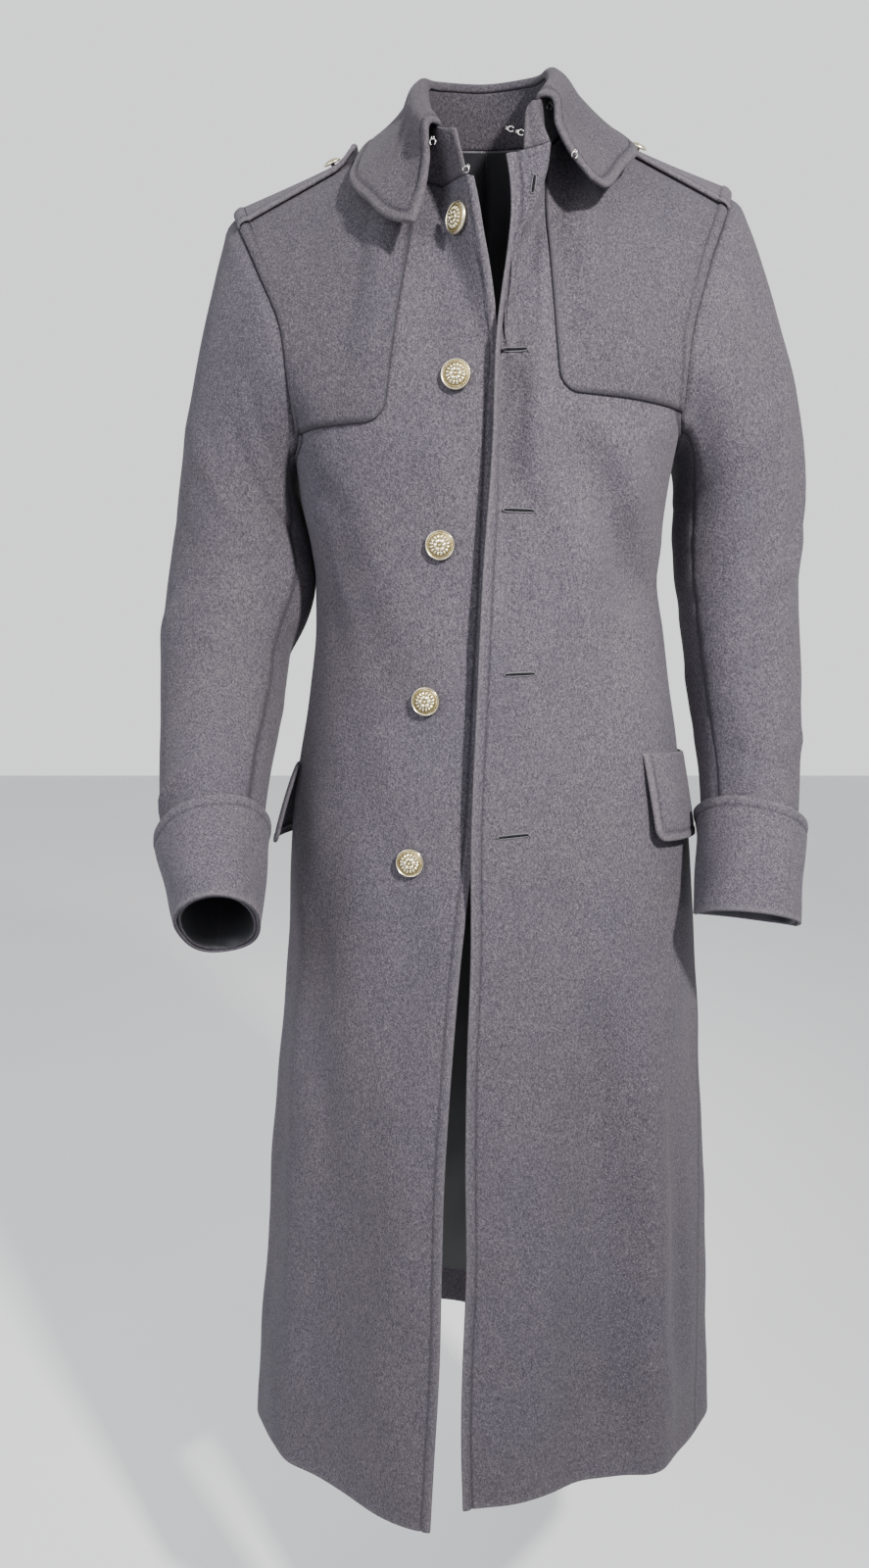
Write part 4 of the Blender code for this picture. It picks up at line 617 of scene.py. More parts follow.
def front_scoop(side, u, v):
    """Front panel from the armpit's level (v 0) to the yoke line (v 1), cut away by the armhole."""
    share, level = yoke_line(side, u)
    rise, turned = scoop(u, v)
    angle = mix(seam_angle(side, ARMPIT[side]), FRONT_ARM_ANGLE[side], turned)
    return on_front(side, share, angle, mix(ARMPIT[side], level, rise))


def shoulder_point(side, share):
    """Point on the shoulder seam from the neck point (0) to the tip (1)."""
    rows = ((0.0,) + NECK_POINT[side], (0.5,) + SHOULDER_MIDDLE[side], (1.0,) + SHOULDER_TIP[side])
    return curve(rows, share)


def armhole_point(side, surface, rows, share):
    """Point on the armhole from the yoke or blade line (0) up to the shoulder tip (1)."""
    start = surface(side, np.array(1.0), np.array(1.0))
    return curve(((0.0,) + tuple(start),) + rows[side] + ((1.0,) + SHOULDER_TIP[side],), share)


def rising(base, top, upward, arrive, pull, v):
    """Run columns from a panel's level line to its top, pulled along its direction at both ends."""
    reach = np.linalg.norm(top - base, axis=-1)[..., None]
    return cubic(v[..., None], base, upward * pull[0] * reach, top, arrive * pull[1] * reach)


def front_outer(side, u, v):
    """Yoke part of a front, outward of the upright seam: v 0 on the yoke line, 1 at the top."""
    step, sign = 0.01, np.array((SIDES[side], 1.0, 1.0))

    def free(at):
        """The columns before the armhole and the seam pull them."""
        share, level = yoke_line(side, at)
        angle = np.array(FRONT_ARM_ANGLE[side])
        upward = (on_front(side, share, angle, level) - on_front(side, share, angle, level - step)) / step
        neck_way = (at - YOKE_SHARE) / (NECK_SHARE - YOKE_SHARE)
        seam_way = (at - NECK_SHARE) / (1.0 - NECK_SHARE)
        top = np.where((at < NECK_SHARE)[..., None], curve(NECKLINE[side], np.clip(neck_way, 0.0, 1.0)),
                       shoulder_point(side, np.clip(seam_way, 0.0, 1.0)))
        arrive = mix(np.array(NECK_CROSSING), np.array(SHOULDER_CROSSING), ramp(neck_way)[..., None]) * sign
        base = front_scoop(side, at, np.ones_like(at))
        return rising(base, top, upward, unit(arrive), FRONT_PULL, v)

    way = np.clip((u - YOKE_SHARE) / (1.0 - YOKE_SHARE), 0.0, 1.0)
    at_arm = armhole_point(side, front_scoop, FRONT_ARMHOLE, v) - free(np.ones_like(u))
    at_seam = curve(YOKE_SEAM[side], v)[..., 0] - free(np.full_like(u, YOKE_SHARE))[..., 0]
    column = free(u) + at_arm * (way ** ARM_PULL)[..., None]
    column[..., 0] += at_seam * (1.0 - way) ** 2
    return column


def front_throat(side, u, v):
    """Strip of a front between its edge and the yoke's upright seam, which stands forward."""
    share = u / YOKE_SHARE

    def steps(rows):
        """Shares reached across, back and up."""
        knots = np.zeros(share.shape + (len(THROAT_STOPS), 2))
        knots[..., 1:-1, :] = rows.reshape(rows.shape[:-1] + (-1, 2))
        knots[..., -1, :] = 1.0
        return np.concatenate([spline(THROAT_STOPS, knots, share), share[..., None]], axis=-1)

    edge = edge_point(side, mix(YOKE_LINE[side][0], EDGE_TOP[side], v))
    seam = front_outer(side, np.full_like(u, YOKE_SHARE), v)
    low_edge = edge_point(side, np.array(YOKE_LINE[side][0]))
    low_seam = front_scoop(side, np.array(YOKE_SHARE), np.array(1.0))
    low_steps = steps(np.array(THROAT[side][0][1:]))
    missing = front_scoop(side, u, np.ones_like(u)) - (low_edge + (low_seam - low_edge) * low_steps)
    return edge + (seam - edge) * steps(curve(THROAT[side], v)) + missing * ((1.0 - v) ** 2)[..., None]


def front_upper(side, u, v):
    """Front panel from the yoke line (v 0) to the neckline and shoulder seam (v 1)."""
    inner = front_throat(side, np.minimum(u, YOKE_SHARE), v)
    outer = front_outer(side, np.maximum(u, YOKE_SHARE), v)
    return np.where((u < YOKE_SHARE)[..., None], inner, outer)


def on_back(side, u, end_angle, height):
    """Point on the body from the centre back (u 0) to the given angle."""
    return ring(SIDES[side] * mix(180.0, end_angle, u), height)


def vent_inset(side, u, height):
    """How far the right back swings inward beside the vent, where it passes under the left one."""
    if side == "left":
        return 0.0 * height
    top = mix(HEM[side], ARMPIT[side], VENT_TOP_ROW / LOWER_ROWS)
    near = np.clip(1.0 - np.maximum(u, 0.0) / 0.35, 0.0, 1.0) ** 2
    drop = np.clip((top - height) / (top - HEM[side]), 0.0, 1.0)
    return near * (0.0050 * (drop > 0.02) + 0.026 * drop ** 2)


def back_lower(side, u, v):
    """Back panel from the hem (v 0) to the armpit's level (v 1)."""
    centre = (MIDDLE_HEM - HEM[side]) * (1.0 - v) + (MIDDLE_PIT - ARMPIT[side]) * v
    height = mix(HEM[side], ARMPIT[side], v) + centre * ramp(1.0 - u)
    point = on_back(side, u, seam_angle(side, height), height)
    return point - unit(point * LEVEL) * vent_inset(side, u, height)[..., None]


def back_scoop(side, u, v):
    """Back panel from the armpit's level (v 0) to the line across the shoulder blades (v 1)."""
    rise, turned = scoop(u, v)
    height = mix(MIDDLE_PIT, ARMPIT[side], ramp(u)) + BLADE_RISE * rise
    return on_back(side, u, mix(seam_angle(side, ARMPIT[side]), BACK_ARM_ANGLE, turned), height)


def back_upper(side, u, v):
    """Back panel from the blade line (v 0) to the back neck and shoulder seam (v 1)."""
    step, ones, blades = 0.01, np.ones_like(u), ARMPIT[side] + BLADE_RISE
    quarter = 0.5 * math.pi * np.clip(u / BACK_NECK_SHARE, 0.0, 1.0)
    low_neck, fall = np.array(BACK_NECK), 1.0 - np.cos(quarter)
    neck = low_neck + (np.array(NECK_POINT[side]) - low_neck) * np.stack([np.sin(quarter), fall, fall], -1)
    seam = shoulder_point(side, np.clip((u - BACK_NECK_SHARE) / (1.0 - BACK_NECK_SHARE), 0.0, 1.0))
    crossing = -np.array(SHOULDER_CROSSING) * np.array((SIDES[side], 1.0, 1.0))
    arrive = unit(mix(np.array(CENTRE_CROSSING), crossing, ramp(u / (BACK_NECK_SHARE * 1.3))[..., None]))

    def columns(at, top, way):
        high, low = (on_back(side, at, BACK_ARM_ANGLE, level) for level in (blades, blades - step))
        return rising(back_scoop(side, at, ones), top, (high - low) / step, way, BACK_PULL, v)

    free = columns(u, np.where((u < BACK_NECK_SHARE)[..., None], neck, seam), arrive)
    end = columns(ones, ones[..., None] * np.array(SHOULDER_TIP[side]), ones[..., None] * unit(crossing))
    pull = (np.maximum(u, 0.0) ** ARM_PULL)[..., None]
    return free + (armhole_point(side, back_scoop, BACK_ARMHOLE, v) - end) * pull


def skin_normals(grid, middle, closed=False):
    """Normals of a grid's triangles gathered at its points, facing away from the middle."""
    around = np.concatenate([grid, grid[:, :1]], axis=1) if closed else grid
    low, high = around[:-1], around[1:]
    first = np.cross(low[:, 1:] - low[:, :-1], high[:, :-1] - low[:, :-1])
    second = np.cross(high[:, 1:] - low[:, 1:], high[:, :-1] - low[:, 1:])
    total = np.zeros_like(around)
    total[:-1, :-1] += first
    total[:-1, 1:] += first + second
    total[1:, :-1] += first + second
    total[1:, 1:] += second
    if closed:
        total[:, 0] += total[:, -1]
        total = total[:, :-1]
    found = unit(total)
    return found * (1.0 if np.sum(found * (grid - middle)) > 0.0 else -1.0)


EDGES = {"bottom": (0, 0), "top": (0, -1), "first": (1, 0), "last": (1, -1)}   # axis and end in a grid


def ease(grid, **amounts):
    """Draw edges of a grid back along the surface, one after the other."""
    moved = grid.copy()
    for edge, amount in amounts.items():
        axis, end = EDGES[edge]
        rows = np.moveaxis(moved, axis, 0)
        rows[end] = rows[end] + unit(rows[-2 if end else 1] - rows[end]) * amount
    return moved


def edge_distance(grid, *edges):
    """Distance of each point of a grid from the nearest of some edges, measured along the grid."""
    found = []
    for edge in edges:
        axis, end = EDGES[edge]
        steps = np.linalg.norm(np.diff(grid, axis=axis), axis=-1)
        zero = np.zeros_like(np.take(steps, [0], axis=axis))
        run = np.concatenate([zero, np.cumsum(steps, axis=axis)], axis=axis)
        found.append(np.take(run, [-1], axis=axis) - run if end else run)
    return np.minimum.reduce(found)


def fine(stops, cells):
    """Divide each stretch between stops into cells."""
    cells = [cells] * (len(stops) - 1) if np.isscalar(cells) else cells
    made = [stops[0]]
    for low, high, count in zip(stops, stops[1:], cells):
        made += list(low + (high - low) * (np.arange(count) + 1.0) / count)
    return np.array(made)


def panel_columns(stops, neck_share, cells):
    """A panel's columns from its centre to the armhole, finer beside the armhole."""
    columns = fine(np.array(stops + [mix(neck_share, 1.0, stop) for stop in SHOULDER_STOPS]), cells)
    start, end = columns[-1 - PANEL_CELLS], columns[-1]
    return np.concatenate([columns[:-PANEL_CELLS], start + (end - start) * np.array(ARM_STOPS)])


ALL_YOKE_STOPS = (0.0,) + YOKE_STOPS
SHOULDER_CELLS = (PANEL_CELLS,) * len(SHOULDER_STOPS)
FRONT_COLUMNS = panel_columns(
    [YOKE_SHARE * stop for stop in THROAT_STOPS]
    + [mix(YOKE_SHARE, NECK_SHARE, (k + 1) / NECK_CELLS) for k in range(NECK_CELLS)],
    NECK_SHARE, (EDGE_CELLS,) + THROAT_CELLS + (NECK_FINE,) * NECK_CELLS + SHOULDER_CELLS)
BACK_COLUMNS = panel_columns(
    [VENT_UNDER] + [BACK_NECK_SHARE * k / NECK_CELLS for k in range(NECK_CELLS + 1)],
    BACK_NECK_SHARE, (BACK_CENTRE,) + (NECK_FINE,) * NECK_CELLS + SHOULDER_CELLS)
SEAM_COLUMN = EDGE_CELLS + sum(THROAT_CELLS)
NECK_COLUMN = SEAM_COLUMN + NECK_FINE * NECK_CELLS
BACK_NECK_COLUMN = BACK_CENTRE + NECK_FINE * NECK_CELLS

# The rows of a fine panel's three parts, finer beside the hem; the fine row at which the armhole
# starts and the one on the yoke line; and the coarse row that each row beside the armhole stands for
LOWER = np.array([stop / LOWER_ROWS for stop in HEM_STOPS]
                 + list(fine(np.arange(1, LOWER_ROWS + 1) / LOWER_ROWS, ROW_CELLS)))
SCOOP = fine(np.linspace(0.0, 1.0, SCOOP_ROWS + 1), SCOOP_CELLS)
UPPER = fine(np.array(ALL_YOKE_STOPS), YOKE_CELLS)
ARM_ROW = len(LOWER) - 1
YOKE_ROW = ARM_ROW + len(SCOOP) - 1
HEAD_TOP = SCOOP_ROWS + len(YOKE_STOPS)   # coarse cells from the armpit up to the shoulder tip
COARSE = np.concatenate([SCOOP * SCOOP_ROWS, SCOOP_ROWS + np.interp(
    UPPER, ALL_YOKE_STOPS, np.arange(len(ALL_YOKE_STOPS)))[1:]])


def fine_panel(surfaces, side, columns):
    """A whole front or back as one fine grid, before its creases."""
    grids = [surface(side, *np.meshgrid(columns, rows)) for surface, rows in zip(surfaces, (LOWER, SCOOP, UPPER))]
    return np.concatenate([grids[0], grids[1][1:], grids[2][1:]], axis=0)


def put(tree, socket, value):
    """Link a socket to another one, or set its value."""
    if hasattr(value, "default_value"):
        tree.links.new(value, socket)
    else:
        socket.default_value = value


class Look:
    """A Principled material in the making."""

    def __init__(self, name):
        self.made = bpy.data.materials.new(name)
        self.made.use_nodes = True
        self.tree = self.made.node_tree
        self.where = self.node("TexCoord").outputs["Object"]

    def node(self, kind, inputs=(), **settings):
        """A shader node with its settings and its linked or set inputs."""
        new = self.tree.nodes.new("ShaderNode" + kind)
        for key, value in settings.items():
            setattr(new, key, value)
        for key, value in dict(inputs).items():
            put(self.tree, new.inputs[key], value)
        return new

    def feed(self, inputs):
        """Link or set inputs of the shader."""
        for key, value in inputs.items():
            put(self.tree, self.tree.nodes["Principled BSDF"].inputs[key], value)
        return self.made

    def noise(self, scale, detail=2.0, roughness=0.5, where=None):
        """Noise at a scale."""
        return self.node("TexNoise", {"Vector": self.where if where is None else where, "Scale": scale,
                                      "Detail": detail, "Roughness": roughness}).outputs["Fac"]

    def twill(self, scale, distortion, where=None):
        """Slanting bands, as of a twill weave."""
        return self.node("TexWave", {"Vector": self.where if where is None else where, "Scale": scale,
                                     "Distortion": distortion},
                         wave_type="BANDS", bands_direction="DIAGONAL").outputs["Fac"]

    def attribute(self, name):
        """A value stored at the mesh's points."""
        return self.node("Attribute", attribute_name=name).outputs["Fac"]

    def calc(self, operation, a, b):
        """Join two values by an operation."""
        return self.node("Math", {0: a, 1: b}, operation=operation).outputs[0]

    def grade(self, fac, *stops):
        """A colour ramp with the given (position, colour) stops."""
        made = self.node("ValToRGB", {"Fac": fac})
        elements = made.color_ramp.elements
        while len(elements) < len(stops):
            elements.new(0.5)
        for element, (position, colour) in zip(elements, stops):
            element.position = position
            element.color = (*colour, 1.0)
        return made.outputs["Color"]

    def blend(self, kind, share, under, over):
        """Blend a colour over another."""
        over = over if hasattr(over, "default_value") else (*over, 1.0)
        return self.node("Mix", {0: share, 6: under, 7: over}, data_type="RGBA", blend_type=kind).outputs[2]

    def bump(self, height, strength, distance):
        """Feed the shader a relief."""
        made = self.node("Bump", {"Height": height, "Strength": strength, "Distance": distance})
        self.feed({"Normal": made.outputs["Normal"]})

    def rough(self, value, at_start, at_end, start=0.0, end=1.0):
        """Feed the shader a roughness that runs with a value."""
        made = self.node("MapRange", {"Value": value, 1: start, 2: end, 3: at_start, 4: at_end})
        self.feed({"Roughness": made.outputs[0]})


def tinted(colour, share):
    """A colour made lighter or darker."""
    return tuple(share * value for value in colour)


def wool(name, shade, seed):
    """Heathered melton: light and dark fibres, faint upright streaks, a short nap, worn edges and painted shade in
    seams and grooves.
    """
    look = Look(name)
    shifted = look.node("Mapping", {"Vector": look.where, "Location": (seed * 0.37, seed * 0.11, 0.0)}).outputs[0]
    streaked = look.node("Mapping", {"Vector": shifted, "Scale": (1.0, 1.0, 0.50)}).outputs[0]
    fibre = look.noise(900.0, 4.0, 0.70, shifted)
    cloud = look.noise(34.0, 3.0, 0.55, streaked)
    fibres = ((0.36, (0.028, 0.025, 0.033)), (0.47, (0.057, 0.051, 0.063)),
              (0.54, (0.075, 0.067, 0.079)), (0.66, (0.124, 0.113, 0.122)))
    # shade makes the whole cloth lighter or darker; the copies for the yokes and collar use it as painted shade,
    # the doubled copy as painted light
    colour = look.grade(fibre, *((position, tinted(shown, shade)) for position, shown in fibres))
    for fac, share, stops in (
            (look.noise(640.0, 1.5, 0.55, streaked), 1.0,
             ((0.34, (0.72, 0.71, 0.74)), (0.50, (1.0, 1.0, 1.0)), (0.66, (1.30, 1.28, 1.26)))),
            (cloud, 0.8, ((0.35, (0.95, 0.95, 0.97)), (0.65, (1.05, 1.04, 1.04)))),
            (look.noise(7.0, where=shifted), 0.9, ((0.35, (0.98, 0.985, 1.02)), (0.65, (1.02, 0.995, 0.995))))):
        colour = look.blend("MULTIPLY", share, colour, look.grade(fac, *stops))
    # wear lightens rubbed edges; the seam attribute paints shade into seams, stitched grooves and some rounded
    # edges
    for field, share, over in (("wear", 0.22, tinted((0.155, 0.145, 0.152), shade)),
                               ("seam", 0.80, (0.010, 0.009, 0.014))):
        colour = look.blend("MIX", look.calc("MULTIPLY", look.attribute(field), share), colour, over)
    ribs = look.calc("MULTIPLY", look.twill(170.0, 6.0, shifted), 0.35)
    nap = look.noise(1500.0, 4.0, 0.8, shifted)
    look.bump(look.calc("ADD", look.calc("ADD", ribs, nap), fibre), 0.55, 0.0006)
    look.rough(cloud, 0.84, 0.96)
    return look.feed({"Base Color": colour, "Sheen Weight": 0.06, "Sheen Roughness": 0.45,
                      "Sheen Tint": (0.86, 0.84, 0.90, 1.0), "Specular IOR Level": 0.22})


def lining_cloth():
    """Dark twill lining with a low shine, its colour darkened further as painted shade for the dim inside of the
    coat.
    """
    look = Look("lining_twill_with_painted_shade")
    twill, cloud = look.twill(260.0, 0.4), look.noise(18.0, 3.0)
    colour = look.grade(twill, (0.2, (0.011, 0.011, 0.014)), (0.8, (0.022, 0.022, 0.028)))
    shades = look.grade(cloud, (0.35, (0.75, 0.75, 0.80)), (0.65, (1.20, 1.18, 1.15)))
    look.bump(twill, 0.4, 0.0002)
    look.rough(cloud, 0.42, 0.58)
    return look.feed({"Base Color": look.blend("MULTIPLY", 0.8, colour, shades), "Sheen Weight": 0.05})


def thread(name, colour):
    """Twisted sewing thread; made near black, it also serves as painted shadow in the buttonhole slits."""
    look = Look(name)
    twist = look.noise(1900.0)
    look.bump(twist, 0.5, 0.0003)
    return look.feed({"Base Color": look.grade(twist, (0.35, tinted(colour, 0.55)), (0.65, colour)),
                      "Roughness": 0.7, "Specular IOR Level": 0.12})


def button_metal(name, light, deep):
    """Worn gilt: bright where it stands up, dark in the recesses, with fine scratches."""
    look = Look(name)
    uneven = look.calc("MULTIPLY", look.calc("SUBTRACT", look.noise(420.0, 4.0, 0.7), 0.5), 0.9)
    level = look.calc("ADD", look.attribute("relief"), uneven)
    middle = tuple(0.5 * (a + b) for a, b in zip(light, deep))
    look.rough(level, 0.52, 0.20, 0.1, 0.8)
    look.bump(look.noise(1300.0, 3.0), 0.25, 0.0002)
    return look.feed({"Base Color": look.grade(level, (0.16, deep), (0.40, middle), (0.62, light)),
                      "Metallic": 1.0})


def wire_steel():
    """Plain hook-and-eye wire."""
    look = Look("wire_steel")
    spots = look.noise(900.0, 3.0)
    look.rough(spots, 0.25, 0.45)
    return look.feed({"Base Color": look.grade(spots, (0.35, (0.34, 0.33, 0.32)), (0.65, (0.72, 0.71, 0.69))),
                      "Metallic": 1.0})


def mesh_object(name, points, faces, materials, slots=None, attributes=None):
    """Link a smooth-shaded mesh."""
    mesh = bpy.data.meshes.new(name)
    mesh.from_pydata(np.asarray(points, float).tolist(), [], [list(face) for face in faces])
    for item in materials:
        mesh.materials.append(item)
    if slots is not None:
        mesh.polygons.foreach_set("material_index", np.asarray(slots, np.int32))
    for key, values in (attributes or {}).items():
        mesh.attributes.new(key, "FLOAT", "POINT").data.foreach_set("value", np.asarray(values, np.float32))
    mesh.update()
    mesh.shade_smooth()
    made = bpy.data.objects.new(name, mesh)
    bpy.context.scene.collection.objects.link(made)
    return made


def cells_of(rows, columns, closed=False, loop=False):
    """Corner numbers of a grid's cells. Closed joins the last column to the first, loop the last row."""
    i, j = np.meshgrid(np.arange(rows if loop else rows - 1), np.arange(columns if closed else columns - 1),
                       indexing="ij")
    n, k = (i + 1) % rows, (j + 1) % columns
    return np.stack([i * columns + j, i * columns + k, n * columns + k, n * columns + j], axis=-1)


def shell(name, outer, inner, materials, closed=False, keep=None, wear=0.0, facing=None, rim=0.0007,
          seam=0.0, rim_seam=0.0):
    """A thin closed shell between two grids, with rounded edges.

    keep says which cells are made, wear how worn each outer point is, seam how much painted shade it
    takes in a seam or groove (the last argument gives the painted shade on the edge), and facing which
    inner cells take the first material; the other inner cells take the last one.
    """
    cells = cells_of(*outer.shape[:2], closed)
    chosen = np.ones(cells.shape[:2], bool) if keep is None else keep
    quads = cells[chosen]
    count = outer[..., 0].size
    top, low = outer.reshape(-1, 3), inner.reshape(-1, 3)
    normal = np.cross(top[quads[:, 1]] - top[quads[:, 0]], top[quads[:, 3]] - top[quads[:, 0]])
    starts, ends = quads.ravel(), np.roll(quads, -1, axis=1).ravel()
    owners = np.repeat(np.arange(len(quads)), 4)
    border = ~np.isin(starts * count + ends, ends * count + starts)
    starts, ends, owners = starts[border], ends[border], owners[border]
    away = unit(np.cross(top[ends] - top[starts], normal[owners]))
    pushed = np.zeros((count, 3))
    np.add.at(pushed, starts, away)
    np.add.at(pushed, ends, away)
    points = np.concatenate([top, low, 0.5 * (top + low) + unit(pushed) * rim])
    faces = np.concatenate([
        quads,
        quads[:, ::-1] + count,
        np.stack([ends, starts, starts + 2 * count, ends + 2 * count], axis=-1),
        np.stack([ends + 2 * count, starts + 2 * count, starts + count, ends + count], axis=-1)])
    inner_slot = np.full(len(quads), len(materials) - 1)
    if facing is not None:
        inner_slot[facing[chosen]] = 0
    slots = np.concatenate([np.zeros(len(quads)), inner_slot, np.zeros(2 * len(starts))])
    wear, seam = (np.broadcast_to(field, outer.shape[:2]).ravel() for field in (wear, seam))
    # The rounded edge is worn light unless it takes painted shade instead
    worn = np.concatenate([wear, wear * 0.5, np.full(count, 1.0 - rim_seam)])
    sunk = np.concatenate([seam, np.zeros(count), np.full(count, rim_seam)])
    used = np.unique(faces)
    index = np.full(len(points), -1)
    index[used] = np.arange(len(used))
    faces, points = index[faces], points[used]
    a, b, c, d = (points[faces[:, n]] for n in range(4))
    if np.sum(a * np.cross(b, c)) + np.sum(a * np.cross(c, d)) < 0.0:
        faces = faces[:, ::-1]
    return mesh_object(name, points, faces, materials, slots, {"wear": worn[used], "seam": sunk[used]})


def cloth_piece(node, kind, outer, inner, looks, slot="melton", held="hung", rests_on=("worn_form",),
                name=None, **how):
    """A cloth shell with what it replaces and its ride; its slot is not used."""
    piece = shell(name or node + "_cloth", outer, inner, looks, **how)
    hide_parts(node)
    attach(piece, "root")


def crease_rise(points, normals):
    """How far the listed creases and the slow unevenness raise the body's cloth."""
    x, z = points[..., 0], points[..., 2]
    total = np.zeros(x.shape)
    ahead = np.clip(0.5 - 1.6 * normals[..., 1], 0.0, 1.0)
    for face, x0, z0, x1, z1, bow, width, rise in CREASES:
        length = np.hypot(x1 - x0, z1 - z0)
        way = np.array((x1 - x0, z1 - z0)) / length
        along = ((x - x0) * way[0] + (z - z0) * way[1]) / length
        off = (x - x0) * -way[1] + (z - z0) * way[0] - bow * np.sin(np.pi * np.clip(along, -0.2, 1.2))
        past, length_share = CREASE_FADE
        fade = ramp((along + past) / length_share) * ramp((1.0 + past - along) / length_share)
        spread = width * (1.0 + 0.5 * np.clip(along, 0.0, 1.0))
        total = total + rise * fade * bell(off, 0.0, spread) * (ahead if face == "F" else 1.0 - ahead)
    turn = np.arctan2(x, -points[..., 1]) * 0.20
    for across, up, phase, rise in RIPPLES:
        total = total + rise * np.sin(2 * np.pi * (turn / across + 0.4 * z / up) + phase) * np.sin(
            2 * np.pi * z / up + 1.7 * phase)
    return total


def groove(distance, at=STITCH_INSET, depth=GROOVE_DEPTH):
    """The dent that a row of stitching presses into thick cloth, with the edge puffed beside it."""
    return PUFF * bell(distance, 0.5 * at, 0.4 * at) - depth * bell(distance, at, GROOVE_WIDTH)


def run_of(line):
    """Distance of each point of a line from its first one, along the line."""
    return np.concatenate([[0.0], np.cumsum(np.linalg.norm(np.diff(line, axis=0), axis=1))])


def painted_shade_line(kind, distance, at=0.0):
    """Painted shade in a seam or stitched groove at a distance from an edge."""
    width, strength = PAINTED_SHADE_LINES[kind]
    return strength * bell(distance, at, width)


def read_line(at, run, line):
    """Points of a line at given distances along it."""
    return np.stack([np.interp(at, run, line[:, axis]) for axis in range(3)], axis=-1)


def inset_line(grid, normal, edge, inset):
    """Points and normals along a grid at a distance from one edge."""
    run = edge_distance(grid, edge)
    if EDGES[edge][0] == 0:
        grid, normal, run = (field.swapaxes(0, 1) for field in (grid, normal, run))
    orders = [np.argsort(way) for way in run]
    points, normals = (np.array([read_line(inset, way[order], row[order])
                                 for row, way, order in zip(field, run, orders)]) for field in (grid, normal))
    return points, unit(normals)


STITCH_LINES = []


def stitch(points, normals, step=STITCH_STEP):
    """Remember a line for the topstitching."""
    STITCH_LINES.append((points, normals, step))


def stitch_frame(grid, normal, inset):
    """Stitches along both ends and the top row of a piece, a little inside its edge."""
    for edge in ("first", "top", "last"):
        points, out = inset_line(grid, normal, edge, inset)
        before, beyond = (np.linalg.norm(points - points[end], axis=1) for end in (0, -1))
        keep = (before > inset * 0.9) & (beyond > inset * 0.9) if edge == "top" else beyond > inset
        stitch(points[keep], out[keep])


def gather(name, parts, look):
    """Join points and faces into one riding piece."""
    points, faces, first = [], [], 0
    for part_points, part_faces in parts:
        points.append(part_points)
        faces += [tuple(first + v for v in face) for face in part_faces]
        first += len(part_points)
    made = mesh_object(name, np.concatenate(points), faces, [look])
    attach(made, "root")


def make_stitching(look):
    """All the topstitching as small sunk threads, one mesh."""
    shape = np.array([(t, r * math.cos(math.pi * a / 3), r * math.sin(math.pi * a / 3))
                      for t, r in ((-1.0, 0.15), (-0.6, 0.85), (0.6, 0.85), (1.0, 0.15)) for a in range(6)])
    cells = cells_of(4, 6, closed=True).reshape(-1, 4)
    parts = []
    for line, out, step in STITCH_LINES:
        run = run_of(line)
        middles = np.arange(0.5 * step, run[-1], step)
        centre = read_line(middles, run, line)
        normal = unit(read_line(middles, run, out))
        along = unit(read_line(middles + 0.001, run, line) - centre + 1e-9)
        beside = np.cross(normal, along)
        points = (centre[:, None] + shape[:, :1] * along[:, None] * THREAD_SHARE * step
                  + shape[:, 1:2] * beside[:, None] * THREAD_SIZE[0]
                  + shape[:, 2:] * normal[:, None] * THREAD_SIZE[1] + normal[:, None] * THREAD_LIFT)
        faces = cells + len(shape) * np.arange(len(middles))[:, None, None]
        parts.append((points.reshape(-1, 3), faces.reshape(-1, 4).tolist()))
    gather("topstitching", parts, look)


FACES = {"front": ((front_lower, front_scoop, front_upper), FRONT_COLUMNS, NECK_COLUMN),
         "back": ((back_lower, back_scoop, back_upper), BACK_COLUMNS, BACK_NECK_COLUMN)}


def edge_roll(grid):
    """The left front's edge strip, the hollow beside it and the bank up to the yoke."""
    height, place, depth, bank = np.array(HOLLOW_LINE).T
    across, up = grid[..., 0], grid[..., 2]
    return (np.interp(up, height, bank) * bell(across, *BANK)
            - np.interp(up, height, depth) * bell(across, np.interp(up, height, place), HOLLOW_WIDTH))


